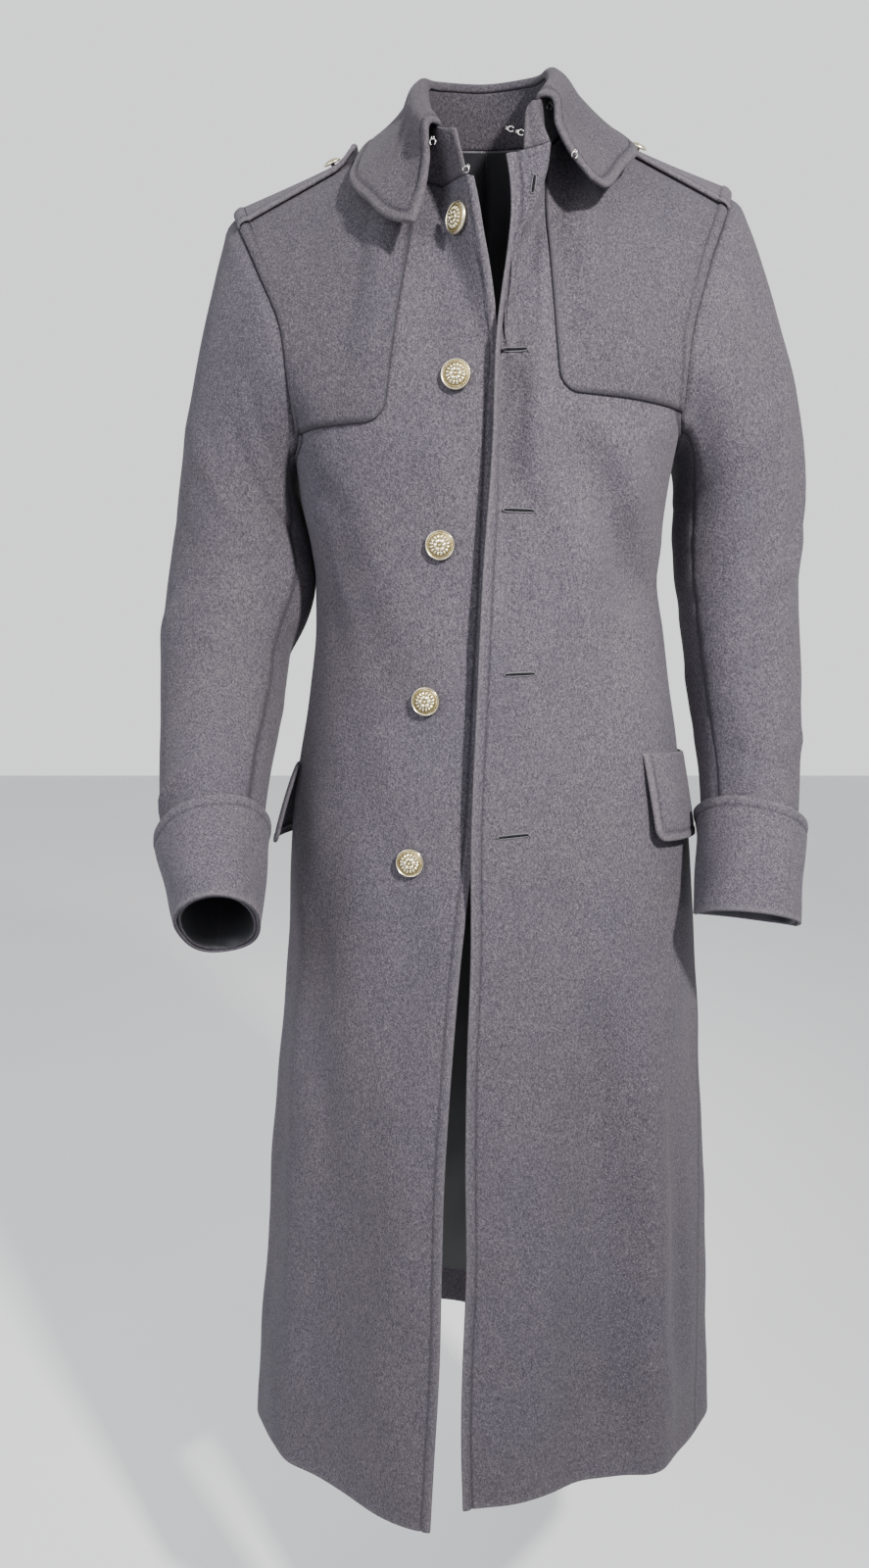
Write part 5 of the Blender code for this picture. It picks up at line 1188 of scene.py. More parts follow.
def dress_panels():
    """Fine fronts and backs with creases and pressed edges: grids, normals and painted seam shade for each."""
    panels = {}
    over = fine_panel(FACES["front"][0], "left", FRONT_COLUMNS)[:, 0]
    above = ramp(np.arange(YOKE_ROW - ARM_ROW + len(UPPER)) / ARM_FADE)
    upper = np.concatenate([np.zeros(ARM_ROW), above])[:, None]
    sides = (slice(ARM_ROW + 1), -1)
    tops = {face: (-1, slice(neck, None)) for face, (_, _, neck) in FACES.items()}
    for side in SIDES:
        for face, (surfaces, columns, _) in FACES.items():
            plain = fine_panel(surfaces, side, columns)
            panels[face, side] = {"plain": plain, "out": skin_normals(plain, plain * UPRIGHT)}
        front, back = panels["front", side], panels["back", side]
        for at_front, at_back in ((sides, sides), (tops["front"], tops["back"])):
            shared = unit(front["out"][at_front] + back["out"][at_back])
            front["out"][at_front] = back["out"][at_back] = shared
        for face in FACES:
            panel = panels[face, side]
            plain = panel["plain"]
            rise = crease_rise(plain, panel["out"])
            arm, hem = edge_distance(plain, "last"), edge_distance(plain, "bottom")
            # Painted shade along the armhole, the pressed strip beside it and the side seam
            dark = ((painted_shade_line("armhole", arm) + painted_shade_line("arm strip", arm, ARM_STRIP + 0.0014)) * upper
                    + painted_shade_line("side seam", arm) * (1.0 - upper))
            if face == "front":
                edge = edge_distance(plain, "first")
                rise = rise * (0.35 + 0.65 * ramp(edge / EDGE_SETTLE)) + groove(edge)
                # Painted shade in the front edge's stitched groove
                dark = dark + painted_shade_line("front edge", edge, STITCH_INSET)
                if side == "left":
                    rise = rise + edge_roll(plain) + EDGE_RISE[0] * bell(edge, 0.0, EDGE_RISE[1])
                else:
                    under = plain[..., 0] - np.interp(plain[..., 2], over[:, 2], over[:, 0])
                    (high, high_fade), (low, low_fade) = TUCK_ENDS
                    reach = ramp((high - plain[..., 2]) / high_fade) * ramp((plain[..., 2] - low) / low_fade)
                    rise = rise + TUCK[0] * bell(under, *TUCK[1:]) * reach
            strip = (STRIP_RISE * ramp((ARM_STRIP + 0.001 - arm) / 0.002)
                     - ARM_DITCH * bell(arm, 0.0, ARM_DITCH))
            panel["rise"] = rise + strip * upper - HEM_MARK * bell(hem, HEM_TURN, HEM_MARK_WIDTH)
            # Painted shade along the whole shoulder seam
            dark[tops[face]] = SHOULDER_SEAM_PAINTED_SHADE
            panel["dark"] = np.minimum(dark, 1.0)
        back["rise"][sides] = front["rise"][sides]
        for panel in (front, back):
            panel["grid"] = panel["plain"] + panel["out"] * panel["rise"][..., None]
            panel["normal"] = skin_normals(panel["grid"], panel["grid"] * UPRIGHT)
    return panels


def make_panels(panels, looks):
    """Fronts and backs as thin shells."""
    vent_top = len(HEM_STOPS) + (VENT_TOP_ROW - 2) * ROW_CELLS
    for side in SIDES:
        for face in FACES:
            panel = panels[face, side]
            grid = panel["grid"]
            hem = edge_distance(grid, "bottom")
            facing, wear, keep = hem < HEM_TURN, bell(hem, 0.0, HEM_WEAR), np.ones(hem[1:, 1:].shape, bool)
            outer = ease(grid, last=SEAM_DRAW, top=SEAM_DRAW)
            if face == "front":
                edge = edge_distance(grid, "first")
                facing, wear = facing | (edge < LINING_GAP), np.maximum(wear, bell(edge, 0.0, HEM_WEAR))
                stitch(*inset_line(grid, panel["normal"], "first", STITCH_INSET))
            else:
                keep[0 if side == "left" else vent_top:, :BACK_CENTRE] = False
                outer[vent_top:, BACK_CENTRE:] = ease(outer[vent_top:, BACK_CENTRE:], first=SEAM_DRAW)
            cloth_piece("%s_%s" % (face, side), face, outer, outer - panel["normal"] * WALL, looks, keep=keep,
                        facing=facing[:-1, :-1], wear=wear, seam=panel["dark"])


def round_corner(grid, across, up, ways, radius):
    """Round a grid's corners off: the moved grid, the cells that stay, the distance from the edge."""
    short = radius - np.stack([across, up], axis=-1)
    far = np.linalg.norm(np.maximum(short, 0.0), axis=-1)
    corner = short.min(axis=-1) > 0.0
    outside = (far > radius) & corner
    scale = (1.0 - radius / np.maximum(far, TINY))[..., None]
    moved = grid + (ways[0] * short[..., :1] + ways[1] * short[..., 1:]) * scale
    keep = ~(outside[:-1, :-1] & outside[1:, :-1] & outside[:-1, 1:] & outside[1:, 1:])
    border = np.where(corner, np.maximum(radius - far, 0.0), np.minimum(across, up))
    return np.where(outside[..., None], moved, grid), keep, border


def make_yokes(panels, look):
    """Chest yokes: a second layer with a rounded lower inner corner and an edge stitch."""
    for side in SIDES:
        grid, normal = (panels["front", side][field][YOKE_ROW:, SEAM_COLUMN:] for field in ("grid", "normal"))
        ways = unit(grid[:, 1:2] - grid[:, :1]), unit(grid[1:2] - grid[:1])
        points, keep, border = round_corner(grid, edge_distance(grid, "first"), edge_distance(grid, "bottom"),
                                            ways, YOKE_ROUND)
        points = ease(points, last=0.0006, top=0.0024)
        lift = SKIN_GAP + YOKE_THICK - 0.0005 * bell(border, YOKE_STITCH, 0.0012)
        # Painted shade along the yoke's pressed strip beside the armhole and along its edges, the rim included
        seam = (painted_shade_line("yoke strip", edge_distance(points, "last"), ARM_STRIP + 0.0004)
                + painted_shade_line("yoke edge", border))
        cloth_piece("chest_yoke_" + side, "yoke", points + normal * lift[..., None],
                    points + normal * SKIN_GAP * 0.4, (look,), held="laid", rests_on=["front_%s_cloth" % side],
                    keep=keep, wear=bell(border, 0.0, 0.002), rim=0.0004, rim_seam=1.0, seam=seam)
        upright, level = (inset_line(points, normal, edge, YOKE_STITCH) for edge in ("first", "bottom"))
        clear_up = edge_distance(points, "bottom")[:, 0] > YOKE_ROUND
        clear_across = edge_distance(points, "first")[0] > YOKE_ROUND
        across, up = ways[0][0, 0], ways[1][0, 0]
        turns = np.linspace(0.0, 0.5 * math.pi, 9)[:, None]
        corner = (grid[0, 0] + (across + up) * YOKE_ROUND
                  - (across * np.cos(turns) + up * np.sin(turns)) * (YOKE_ROUND - YOKE_STITCH))
        line = np.concatenate([upright[0][clear_up][::-1], corner, level[0][clear_across]])
        out = np.concatenate([upright[1][clear_up][::-1], np.repeat(normal[:1, 0], len(turns), axis=0),
                              level[1][clear_across]])
        stitch(line + out * (SKIN_GAP + YOKE_THICK - 0.0005), out, YOKE_STEP)


def sleeve_rise(side, share, angle):
    """How far the creases raise a sleeve's cloth."""
    total = np.zeros(np.broadcast(share, angle).shape)
    for middle, around, length, lean, width, rise in SLEEVE_CREASES[side]:
        off = (angle - around + 180.0) % 360.0 - 180.0
        fade = ramp(1.25 - np.abs(off) / (0.5 * length))
        centre = middle + lean * off / 360.0 + 0.006 * np.sin(np.radians(off * 3.0))
        total = total + rise * fade * bell(share, centre, width)
    for across, up, phase, rise in RIPPLES:
        waves = np.sin(np.radians(angle) * round(0.35 / across) + phase)
        total = total + rise * waves * np.sin(2 * np.pi * share * 0.6 / up + 1.3 * phase)
    roped = 0.0016 * bell(share, 0.016, 0.010) * (0.4 + 0.6 * np.cos(np.radians(angle)) ** 2)
    return total * ramp(share / 0.06) + roped


def sleeve_grid(side, panels):
    """A fine sleeve: rows from the armhole to the wrist, columns round the arm from the shoulder tip."""

    def armhole(field):
        front, back = (panels[face, side][field][ARM_ROW:, -1] for face in FACES)
        return np.concatenate([front[::-1], back[1:-1]], axis=0)

    stations = np.concatenate([HEAD_TOP - COARSE[::-1], HEAD_TOP + COARSE[1:-1]])
    turn = math.pi * stations / HEAD_TOP
    outside, ahead_side = np.cos(turn)[:, None], np.sin(turn)[:, None]
    sign, table = SIDES[side], np.array(SLEEVE[side])
    steps = np.arange(len(table))
    along = unit(np.gradient(table[:, :3], axis=0))
    rings = []
    for row in curve(np.column_stack([steps, table, along]), fine(steps.astype(float), RING_STEPS)):
        direction = unit(row[5:8])
        across = unit(np.array((1.0, 0.0, 0.0)) - direction * direction[0])
        ahead = unit(np.cross(direction, across))
        ahead = ahead * (-1.0 if ahead[1] > 0.0 else 1.0)
        rings.append(row[:3] + outside * across * sign * row[3] + ahead_side * ahead * row[4])
    outward, down, pull = CAP[side]
    head = 0.5 + 0.5 * outside
    leave = mix(np.array((CAP_UNDER[0] * sign, 0.0, 0.0)), np.array((outward * sign, 0.0, down)), head ** 1.5)
    leave = leave + np.abs(ahead_side) * np.concatenate(
        [CAP_LEVEL[0] * sign + 0 * outside, -CAP_LEVEL[1] * ahead_side, 0 * outside], axis=-1)
    arrive = along[0] * mix(CAP_UNDER[1], pull, head)
    plain = armhole("plain")
    grid = np.array([cubic(row / HEAD_ROWS, plain, leave, rings[0], arrive) for row in range(HEAD_ROWS)] + rings)
    normal = skin_normals(grid, grid.mean(axis=1, keepdims=True), closed=True)
    down_way = run_of(grid.mean(axis=1))
    share = (down_way / down_way[-1])[:, None]
    grid = grid + normal * sleeve_rise(side, share, np.degrees(turn)[None, :])[..., None]
    grid[..., 2] += WRIST_LIFT[side] * np.maximum(-np.sin(turn), 0.0)[None] * ramp((share - 0.88) / 0.12)
    fade = ramp(1.0 - np.arange(len(grid)) / HEAD_SLIP)
    return grid + (armhole("grid") - grid[0])[None] * fade[:, None, None], stations


def make_sleeves(panels, looks):
    """Topsleeves, undersleeves and cuffs."""
    wool_look, doubled_look, lining_look = looks
    for side in SIDES:
        grid, stations = sleeve_grid(side, panels)
        normal = skin_normals(grid, grid.mean(axis=1, keepdims=True), closed=True)
        fore, hind = (int(np.argmin(np.abs(stations - seam))) for seam in (FRONT_SLEEVE_SEAM, HIND_SLEEVE_SEAM))
        eased = ease(grid, bottom=GAP)
        for kind, chosen in (("topsleeve", list(range(hind, grid.shape[1])) + list(range(fore + 1))),
                             ("undersleeve", list(range(fore, hind + 1)))):
            outer, out = ease(eased[:, chosen], first=SEAM_DRAW, last=SEAM_DRAW), normal[:, chosen]
            border = edge_distance(outer, "first", "last")
            outer = outer - out * (0.0006 * bell(border, 0.0, 0.0022))[..., None]
            # Painted shade along the sleeve seams and round the sleeve head, and on the rounded edges
            dark = painted_shade_line("sleeve seam", border) + painted_shade_line("sleeve head", edge_distance(outer, "bottom"))
            cloth_piece("%s_%s" % (kind, side), kind, outer, outer - out * WALL, (wool_look, lining_look),
                        seam=np.minimum(dark, 1.0), rim_seam=0.6)
        make_cuff(side, grid, stations, doubled_look)


def make_cuff(side, grid, stations, look):
    """The turned-back cuff, from the sleeve's own rings moved out."""
    length, slant, at_top, at_rim = CUFF[side]
    from_end = run_of(grid.mean(axis=1)[::-1])
    turn = math.pi * stations / HEAD_TOP
    beyond = unit(grid[-1].mean(axis=0) - grid[-4].mean(axis=0))
    outer = []
    for share in fine(CUFF_STOPS, CUFF_CELLS):
        stops = share * length * (1.0 - slant * np.cos(turn))
        ringed = np.array([read_line(stop, from_end, grid[::-1, k]) for k, stop in enumerate(stops)])
        lift = DOUBLED_WALL + CUFF_CLEAR + mix(at_rim, at_top, share)
        lift = lift + 0.0012 * np.sin(turn * 3.0 + 1.0) * share + 0.0006 * np.sin(turn * 5.0 + 9.0 * share)
        ringed = ringed + unit(ringed - ringed.mean(axis=0)) * lift[:, None]
        outer.append(ringed + beyond * RIM_PAST_SLEEVE * max(0.0, 1.0 - share * 20.0))
    outer = np.array(outer)
    radial = unit(outer - outer.mean(axis=1, keepdims=True))
    distance = edge_distance(outer, "bottom")
    outer = outer + radial * groove(distance, depth=0.0007)[..., None]
    wear = np.maximum(0.4 * bell(distance, 0.0, EDGE_WEAR), bell(edge_distance(outer, "top"), 0.0, EDGE_WEAR))
    # Painted shade in the stitched groove above the rim and on the rim where the cuff lies against the sleeve
    cloth_piece("cuff_" + side, "cuff", outer, outer - radial * DOUBLED_WALL, (look,), "facing_melton", "folded",
                ["topsleeve_%s_cloth" % side], closed=True, rim=0.0008, rim_seam=CUFF_RIM_PAINTED_SHADE[side],
                wear=wear, seam=painted_shade_line("cuff", distance, STITCH_INSET))
    stitch(*(np.concatenate([line, line[:1]]) for line in inset_line(outer, radial, "bottom", STITCH_INSET)))


def make_collar(panels, look):
    """The stand round the neck and the leaf that rolls over it."""
    right, left, back_right, back_left = (panels[face, side]["grid"][-1] for face in FACES for side in SIDES)
    neck = slice(EDGE_CELLS, NECK_COLUMN + 1)
    bottom = np.concatenate([right[neck], back_right[BACK_CENTRE:BACK_NECK_COLUMN][::-1],
                             back_left[BACK_CENTRE + 1:BACK_NECK_COLUMN], left[neck][::-1]], axis=0)
    around = run_of(bottom)
    share = around / around[-1]
    top = curve(STAND_TOP, share)
    top[:, 2] += 0.0020 * bell(share, 0.955, 0.020) - 0.0040 * bell(around, around[-1], 0.0045)
    low = bottom + unit(top - bottom) * (GAP + 0.0005)
    stand = np.array([mix(low, top, t) for t in np.linspace(0.0, 1.0, STAND_POINTS)])
    out = unit(skin_normals(stand, stand * UPRIGHT) * np.array((1.0, 1.0, 0.15)))
    ends = edge_distance(stand, "first", "last")
    stand = stand + out * (groove(ends, STAND_STITCH) * ramp(ends / 0.002))[..., None]
    # Painted shade along the neck seam and in the stand's stitched grooves
    dark = painted_shade_line("neck seam", edge_distance(stand, "bottom")) + painted_shade_line("stand", ends, STAND_STITCH)
    cloth_piece("collar_stand", "stand", stand, stand - out * WALL, (look,), "facing_melton", "hung",
                ["front_left_cloth", "front_right_cloth"], wear=bell(ends, 0.0, EDGE_WEAR), rim=0.0009,
                seam=np.minimum(dark, 1.0))
    for edge, end in (("first", 0), ("last", -1)):
        points, ways = inset_line(stand, out, edge, STAND_STITCH)
        stitch(points, ways, SHORT_STEP)
        stitch(points - out[:, end] * WALL, -ways, SHORT_STEP)
    first, last = LEAF_EDGE[0][0], LEAF_EDGE[-1][0]
    turns = fine(np.linspace(first, last, LEAF_COLUMNS), 5)
    edge, top = curve(LEAF_EDGE, turns), curve(STAND_TOP, turns)
    outward = unit((edge - top) * LEVEL)
    start = top - outward * ROLL_INSET + UPRIGHT * (GAP + 0.0005)
    inside = np.minimum(last - turns, turns - first)[:, None]
    knots = [start + outward * out_by + UPRIGHT * up_by * (0.15 + 0.85 * ramp(inside / 0.035))
             for out_by, up_by in ROLL]
    knots += [mix(knots[-1], edge, t) - outward * HOLLOW * math.sin(math.pi * t) for t in LEAF_ROWS]
    rows = fine(LEAF_STOPS, LEAF_CELLS)
    table = np.column_stack([LEAF_STOPS, np.reshape(knots, (len(knots), -1))])
    leaf = curve(table, rows).reshape(len(rows), -1, 3)
    out = skin_normals(leaf, leaf * UPRIGHT)
    distance = edge_distance(leaf, "top", "first", "last")
    share = np.linspace(0.0, 1.0, leaf.shape[1])
    wave = (0.0014 * np.sin(share * 17.0 + 0.6) + 0.0013 * np.sin(share * 31.0 + 2.0)
            + 0.0018 * bell(share, 0.13, 0.018) - 0.0017 * bell(share, 0.17, 0.016))
    under = leaf + out * (wave * ramp(edge_distance(leaf, "bottom") / 0.05))[..., None]
    outer = under + out * (COLLAR_WALL + groove(distance, LEAF_STITCH, 0.0016))[..., None]
    # Painted shade in the leaf's stitched groove
    cloth_piece("collar_fall", "fall", outer, under, (look,), "facing_melton", "folded", ["collar_stand_cloth"],
                "collar_leaf_cloth", rim=0.0015, wear=bell(distance, 0.0, EDGE_WEAR),
                seam=painted_shade_line("leaf", distance, LEAF_STITCH))
    stitch_frame(outer, out, LEAF_STITCH)


def make_flaps(look):
    """Pocket flaps with rounded lower corners."""
    for side, sizes in FLAPS.items():
        down, across = FLAP_POINTS
        turns, tops, stand = (np.linspace(*sizes[field], across) for field in ("angles", "top", "stand"))
        wave = 0.0012 * np.sin(np.linspace(0.4, 6.5, across))
        rows = []
        for t in np.linspace(0.0, 1.0, down):
            point = ring(turns, tops - sizes["depth"] * t)
            lift = GAP + 0.0008 + DOUBLED_WALL + stand * t ** 0.7 + wave * t
            rows.append(point + unit(point * LEVEL) * lift[:, None])
        outer = np.array(rows)
        near_first = (edge_distance(outer, "first") < edge_distance(outer, "last"))[..., None]
        ways = (np.where(near_first, unit(outer[:, 1:2] - outer[:, :1]), unit(outer[:, -2:-1] - outer[:, -1:])),
                unit(outer[-2:-1] - outer[-1:]))
        outer, keep, border = round_corner(outer, edge_distance(outer, "first", "last"),
                                           edge_distance(outer, "top"), ways, FLAP_ROUND)
        outward = unit(outer * LEVEL)
        outer = outer + outward * groove(border, FLAP_STITCH)[..., None]
        # Painted shade in the flap's stitched groove
        cloth_piece("pocket_flap_" + side, "flap", outer, outer - outward * DOUBLED_WALL, (look,), "facing_melton",
                    "hung", ["front_%s_cloth" % side], keep=keep, wear=bell(border, 0.0, EDGE_WEAR), rim=0.0012,
                    seam=painted_shade_line("flap", border, FLAP_STITCH))
        stitch_frame(outer, outward, FLAP_STITCH)


def make_straps(panels, look):
    """Shoulder straps over the shoulder seams, from the fine panels' points moved out."""
    low = SKIN_GAP * 2.0 + WALL
    for side, (start, tip_rise) in STRAP.items():
        front, back = panels["front", side], panels["back", side]
        points, out = (np.concatenate([front[f][-STRAP_ROWS - 1:, NECK_COLUMN + start * PANEL_CELLS:],
                                       back[f][-STRAP_ROWS - 1:-1, BACK_NECK_COLUMN + start * PANEL_CELLS:][::-1]])
                       for f in ("grid", "normal"))
        points = ease(points, last=STRAP_END_EASE)
        points = points + UPRIGHT * tip_rise * bell(edge_distance(points, "first"), 0.0, 0.010)[..., None]
        distance = edge_distance(points, "top", "bottom", "first")
        sink = 0.0026 * bell(edge_distance(points, "last"), 0.0, 0.007)
        outer = points + out * (low + DOUBLED_WALL + groove(distance, STRAP_STITCH, 0.0010) - sink)[..., None]
        # Painted shade in the strap's stitched groove
        cloth_piece("shoulder_strap_" + side, "strap", outer, points + out * low, (look,), "facing_melton", "laid",
                    ["front_%s_cloth" % side], rim=0.0012, wear=bell(distance, 0.0, EDGE_WEAR),
                    seam=painted_shade_line("strap", distance, STRAP_STITCH))
        for edge in ("top", "bottom", "first"):
            stitch(*inset_line(outer, out, edge, STRAP_STITCH), SHORT_STEP)


def button_height(radius, turn, size):
    """Face of a button: a raised rim, a beaded ring and a rosette of six petals round a small boss."""
    rim = 0.10 * bell(radius, 0.93, 0.050)
    beads = 0.050 * bell(radius, 0.80, 0.035) * (0.5 + 0.5 * np.cos(turn * 36.0))
    petals = 0.085 * np.exp(-((radius - 0.30) / 0.11) ** 4) * np.abs(np.cos(turn * 3.0)) ** 0.5
    leaves = 0.080 * np.exp(-((radius - 0.57) / 0.11) ** 4) * np.abs(np.sin(turn * 8.0)) ** 1.5
    relief = rim + beads + petals + leaves + 0.085 * np.exp(-(radius / 0.09) ** 4)
    return size * (0.30 * (1.0 - radius ** 2) + relief), relief / 0.10


def make_button(node, centre, axis, size, look):
    """A domed shank button with raised ornament."""
    across = unit(np.cross(axis, UPRIGHT))
    beside = np.cross(axis, across)
    turns = 2.0 * math.pi * np.arange(BUTTON_SIDES) / BUTTON_SIDES
    rows, relief = [], []

    def add_row(out, height, raised):
        rows.append(np.stack([size * out * np.cos(turns), size * out * np.sin(turns),
                              np.broadcast_to(height, turns.shape)], axis=-1))
        relief.append(np.broadcast_to(raised, turns.shape))

    for out, up in BUTTON_BACK:
        add_row(out, size * up, 0.25 if out < 0.9 else 0.9)
    for out in np.concatenate([np.linspace(0.985, 0.70, 16), np.linspace(0.68, 0.04, 34)]):
        height, raised = button_height(out, turns, size)
        add_row(out, height + BUTTON_EDGE * size, raised)
    height, raised = button_height(0.0, np.zeros(1), size)
    middles = [[0.0, 0.0, BUTTON_BACK[0][1] * size], [0.0, 0.0, height[0] + BUTTON_EDGE * size]]
    points = np.concatenate(rows + [middles])
    points = centre + points[:, :1] * across + points[:, 1:2] * beside + points[:, 2:] * axis
    faces = cells_of(len(rows), BUTTON_SIDES, closed=True).reshape(-1, 4).tolist()
    low = len(rows) * BUTTON_SIDES
    for k in range(BUTTON_SIDES):
        n = (k + 1) % BUTTON_SIDES
        faces += [(low, n, k), (low + 1, low - BUTTON_SIDES + k, low - BUTTON_SIDES + n)]
    made = mesh_object(node + "_gilt", points, faces, [look],
                       attributes={"relief": np.concatenate(relief + [[0.2, raised[0]]])})
    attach(made, "root")
    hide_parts(node)


def seat(panel, across, height):
    """Nearest point and normal of a fine panel at an across and height, on its outside."""
    grid, normal = panel["grid"], panel["normal"]
    off = ((grid[..., 0] - across) ** 2 + (grid[..., 2] - height) ** 2 + (grid[..., 1] > 0.0)).ravel()
    order = np.argsort(off)[:12]
    weight = 1.0 / (off[order] + 1e-7)
    weight = (weight / weight.sum())[:, None]
    point, out = ((field.reshape(-1, 3)[order] * weight).sum(axis=0) for field in (grid, normal))
    return np.array((across, point[1], height)), unit(out)


def make_buttons(panels, front_look, strap_look):
    """Front buttons at their places on the right front, and one on each strap."""
    for number, (height, across) in enumerate(BUTTONS, start=1):
        point, normal = seat(panels["front", "right"], across, height)
        make_button("front_button_%d" % number, point + normal * BUTTON_LIFT, normal, BUTTON_RADIUS, front_look)
    for side in SIDES:
        node = "strap_button_" + side
        low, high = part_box(node)
        middle = np.array(0.5 * (low + high))
        seam, ways = (panels["front", side][field][-1, NECK_COLUMN:] for field in ("grid", "normal"))
        nearest = int(np.argmin(np.linalg.norm(seam - middle, axis=1)))
        normal = ways[nearest]
        base = middle - normal * np.dot(middle - seam[nearest], normal)
        lift = SKIN_GAP * 2.0 + WALL + DOUBLED_WALL + BUTTON_LIFT
        make_button(node, base + normal * lift, normal, STRAP_BUTTON_RADIUS, strap_look)


def tube(points, radius, sides=8, closed=False):
    """Points and faces of a round wire along a line."""
    points = np.asarray(points, float)
    if closed:
        ahead = unit(np.roll(points, -1, axis=0) - np.roll(points, 1, axis=0))
    else:
        ahead = unit(np.gradient(points, axis=0))
    across = unit(np.cross(ahead, np.array((0.31, 0.22, 0.93))))
    beside = np.cross(ahead, across)
    turns = (2.0 * math.pi * np.arange(sides) / sides)[None, :, None]
    rings = points[:, None] + radius * (np.cos(turns) * across[:, None] + np.sin(turns) * beside[:, None])
    faces = cells_of(len(points), sides, closed=True, loop=closed).reshape(-1, 4).tolist()
    if not closed:
        end = (len(points) - 1) * sides
        faces += [list(range(sides))[::-1], list(range(end, end + sides))]
    return rings.reshape(-1, 3), faces


def make_buttonholes(panel, lip_look, slit_shadow_look):
    """Worked buttonholes: a near-black tube as painted shadow in the slit between corded lips, with a bar at the
    inner end.
    """
    lips, slits = [], []
    for across, height, length, tilt in BUTTONHOLES:
        lean = math.radians(tilt)

        def at(along, off, lift):
            point, out = seat(panel, across + along * math.cos(lean) - off * math.sin(lean),
                              height + along * math.sin(lean) + off * math.cos(lean))
            return point + out * lift

        outline = [at(0.5 * length * np.sign(math.cos(turn)) * abs(math.cos(turn)) ** 0.55,
                      SLIT_HALF * np.sign(math.sin(turn)) * abs(math.sin(turn)) ** 0.8, 0.0004)
                   for turn in np.linspace(0.0, 2.0 * math.pi, 49)[:-1]]
        lips.append(tube(outline, LIP_RADIUS, closed=True))
        middle = [at(along, 0.0, 0.0003) for along in np.linspace(-0.46 * length, 0.46 * length, 15)]
        slits.append(tube(middle, SLIT_RADIUS, 6))
        bar = [at(0.5 * length + LIP_RADIUS, off, 0.0004) for off in np.linspace(-BAR_HALF, BAR_HALF, 7)]
        lips.append(tube(bar, LIP_RADIUS))
    gather("buttonhole_lips", lips, lip_look)
    gather("buttonhole_slit_shadows", slits, slit_shadow_look)


def wire_eye(centre, normal, up, size):
    """An open loop of wire that lies on the cloth."""
    beside = np.cross(normal, up)
    return tube([centre + size * (math.cos(turn) * up + math.sin(turn) * beside) + normal * 0.0007
                 for turn in np.linspace(-2.6, 2.6, 25)], WIRE_RADIUS, 6)


def make_hooks(look):
    """Wire eyes on the stand's left end and hooks at the right one and under the leaf's edge."""
    parts = []
    for centre, normal, up in (map(np.array, row) for row in HOOKS):
        normal, up = unit(normal), unit(up)
        parts += [wire_eye(centre, normal, up, EYE_RADIUS),
                  wire_eye(centre + FOOT_REACH * up, normal, -up, FOOT_RADIUS)]
    gather("hooks_and_eyes", parts, look)


def place(name, data, where):
    """Link a new object at a place."""
    made = bpy.data.objects.new(name, data)
    made.location = where
    bpy.context.scene.collection.objects.link(made)
    return made


def make_camera():
    """The photograph's camera."""
    data = bpy.data.cameras.new("camera")
    data.lens = 27.0
    data.sensor_width = 36.0
    camera = place("camera", data, (-0.047, -1.13, -0.395))
    camera.rotation_euler = (math.radians(80.0), 0.0, 0.0)
    bpy.context.scene.camera = camera


def area_light(name, where, aim, size, power, colour, spread):
    """A square light aimed at a point, with its spread in degrees."""
    data = bpy.data.lights.new(name, "AREA")
    data.size = size
    data.energy = power
    data.spread = math.radians(spread)
    data.color = colour
    place(name, data, where).rotation_euler = (Vector(aim) - Vector(where)).to_track_quat("-Z", "Y").to_euler()


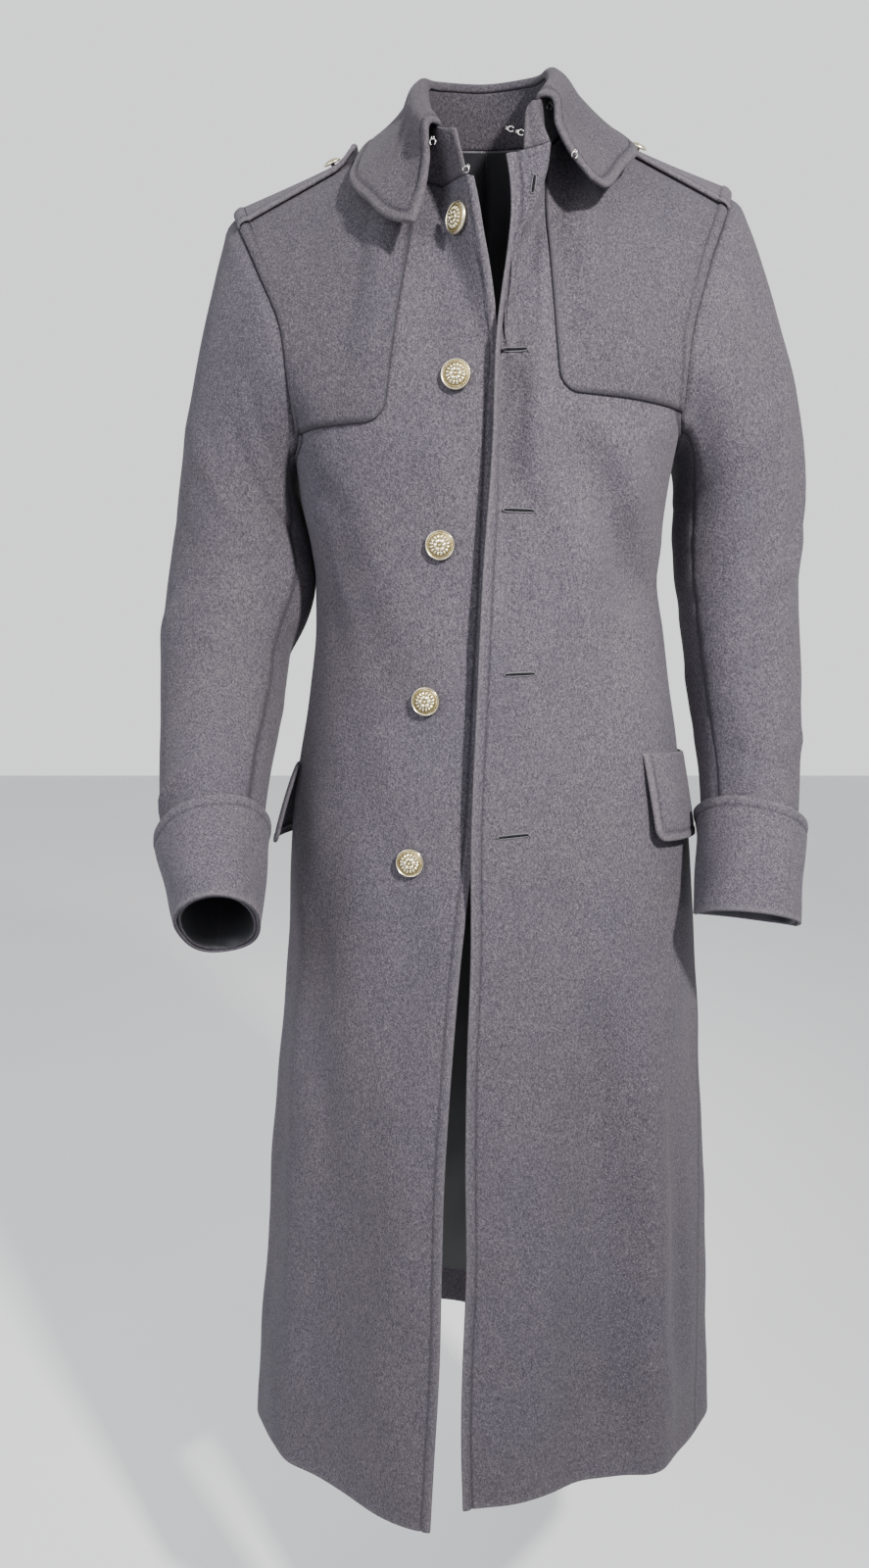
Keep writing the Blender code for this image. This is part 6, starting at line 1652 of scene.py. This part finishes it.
def make_studio():
    """Pale floor and surroundings, a hard light from the upper right and a soft one from the left."""
    mesh = bpy.data.meshes.new("floor")
    mesh.from_pydata([(x, y, FLOOR_LEVEL) for x, y in
                      ((-FLOOR_REACH, -FLOOR_REACH), (FLOOR_REACH, -FLOOR_REACH),
                       (FLOOR_REACH, FLOOR_REACH), (-FLOOR_REACH, FLOOR_REACH))], [], [(0, 1, 2, 3)])
    paint = Look("floor_paint")
    colour = paint.grade(paint.noise(1.5, 3.0), (0.3, (0.83, 0.84, 0.85)), (0.7, (0.87, 0.87, 0.88)))
    mesh.materials.append(paint.feed({"Base Color": colour, "Roughness": 0.75}))
    place("floor", mesh, (0.0, 0.0, 0.0))
    world = bpy.data.worlds.new("studio")
    world.use_nodes = True
    tree = world.node_tree
    around, seen = tree.nodes["Background"], tree.nodes.new("ShaderNodeBackground")
    for background, strength in ((around, 0.97), (seen, 1.44)):
        background.inputs["Color"].default_value = (0.90, 0.91, 0.93, 1.0)
        background.inputs["Strength"].default_value = strength
    rays, split = tree.nodes.new("ShaderNodeLightPath"), tree.nodes.new("ShaderNodeMixShader")
    for out, socket in ((rays.outputs["Is Camera Ray"], split.inputs[0]),
                        (around.outputs["Background"], split.inputs[1]),
                        (seen.outputs["Background"], split.inputs[2]),
                        (split.outputs[0], tree.nodes["World Output"].inputs["Surface"])):
        tree.links.new(out, socket)
    bpy.context.scene.world = world
    for name, light in LIGHTS.items():
        area_light(name, *light)


def build_scene():
    """The studio, and every visible piece on the frame."""
    make_camera()
    make_studio()
    cloth = wool("wool_melton", 1.0, 0.0)
    sleeve_cloth = wool("wool_melton_sleeves", 0.98, 3.0)
    # The yoke and collar copies of the same cloth are made darker as painted shade, the doubled copy lighter as
    # painted light
    yoke_cloth = wool("wool_melton_yokes_painted_shade", 0.86, 7.0)
    doubled = wool("wool_melton_doubled_painted_light", 1.06, 11.0)
    collar_cloth = wool("wool_melton_collar_painted_shade", 0.78, 15.0)
    lining = lining_cloth()
    panels = dress_panels()
    make_panels(panels, (cloth, lining))
    make_yokes(panels, yoke_cloth)
    make_sleeves(panels, (sleeve_cloth, doubled, lining))
    make_collar(panels, collar_cloth)
    make_flaps(doubled)
    make_straps(panels, doubled)
    make_buttons(panels, button_metal("button_gilt", (0.98, 0.91, 0.68), (0.20, 0.15, 0.06)),
                 button_metal("strap_button_gilt", (0.98, 0.91, 0.69), (0.21, 0.16, 0.07)))
    make_buttonholes(panels["front", "left"], thread("buttonhole_thread", (0.125, 0.118, 0.130)),
                     thread("slit_shadow", (0.005, 0.005, 0.008)))
    make_hooks(wire_steel())
    make_stitching(thread("stitch_thread", (0.085, 0.078, 0.096)))


build_scene()
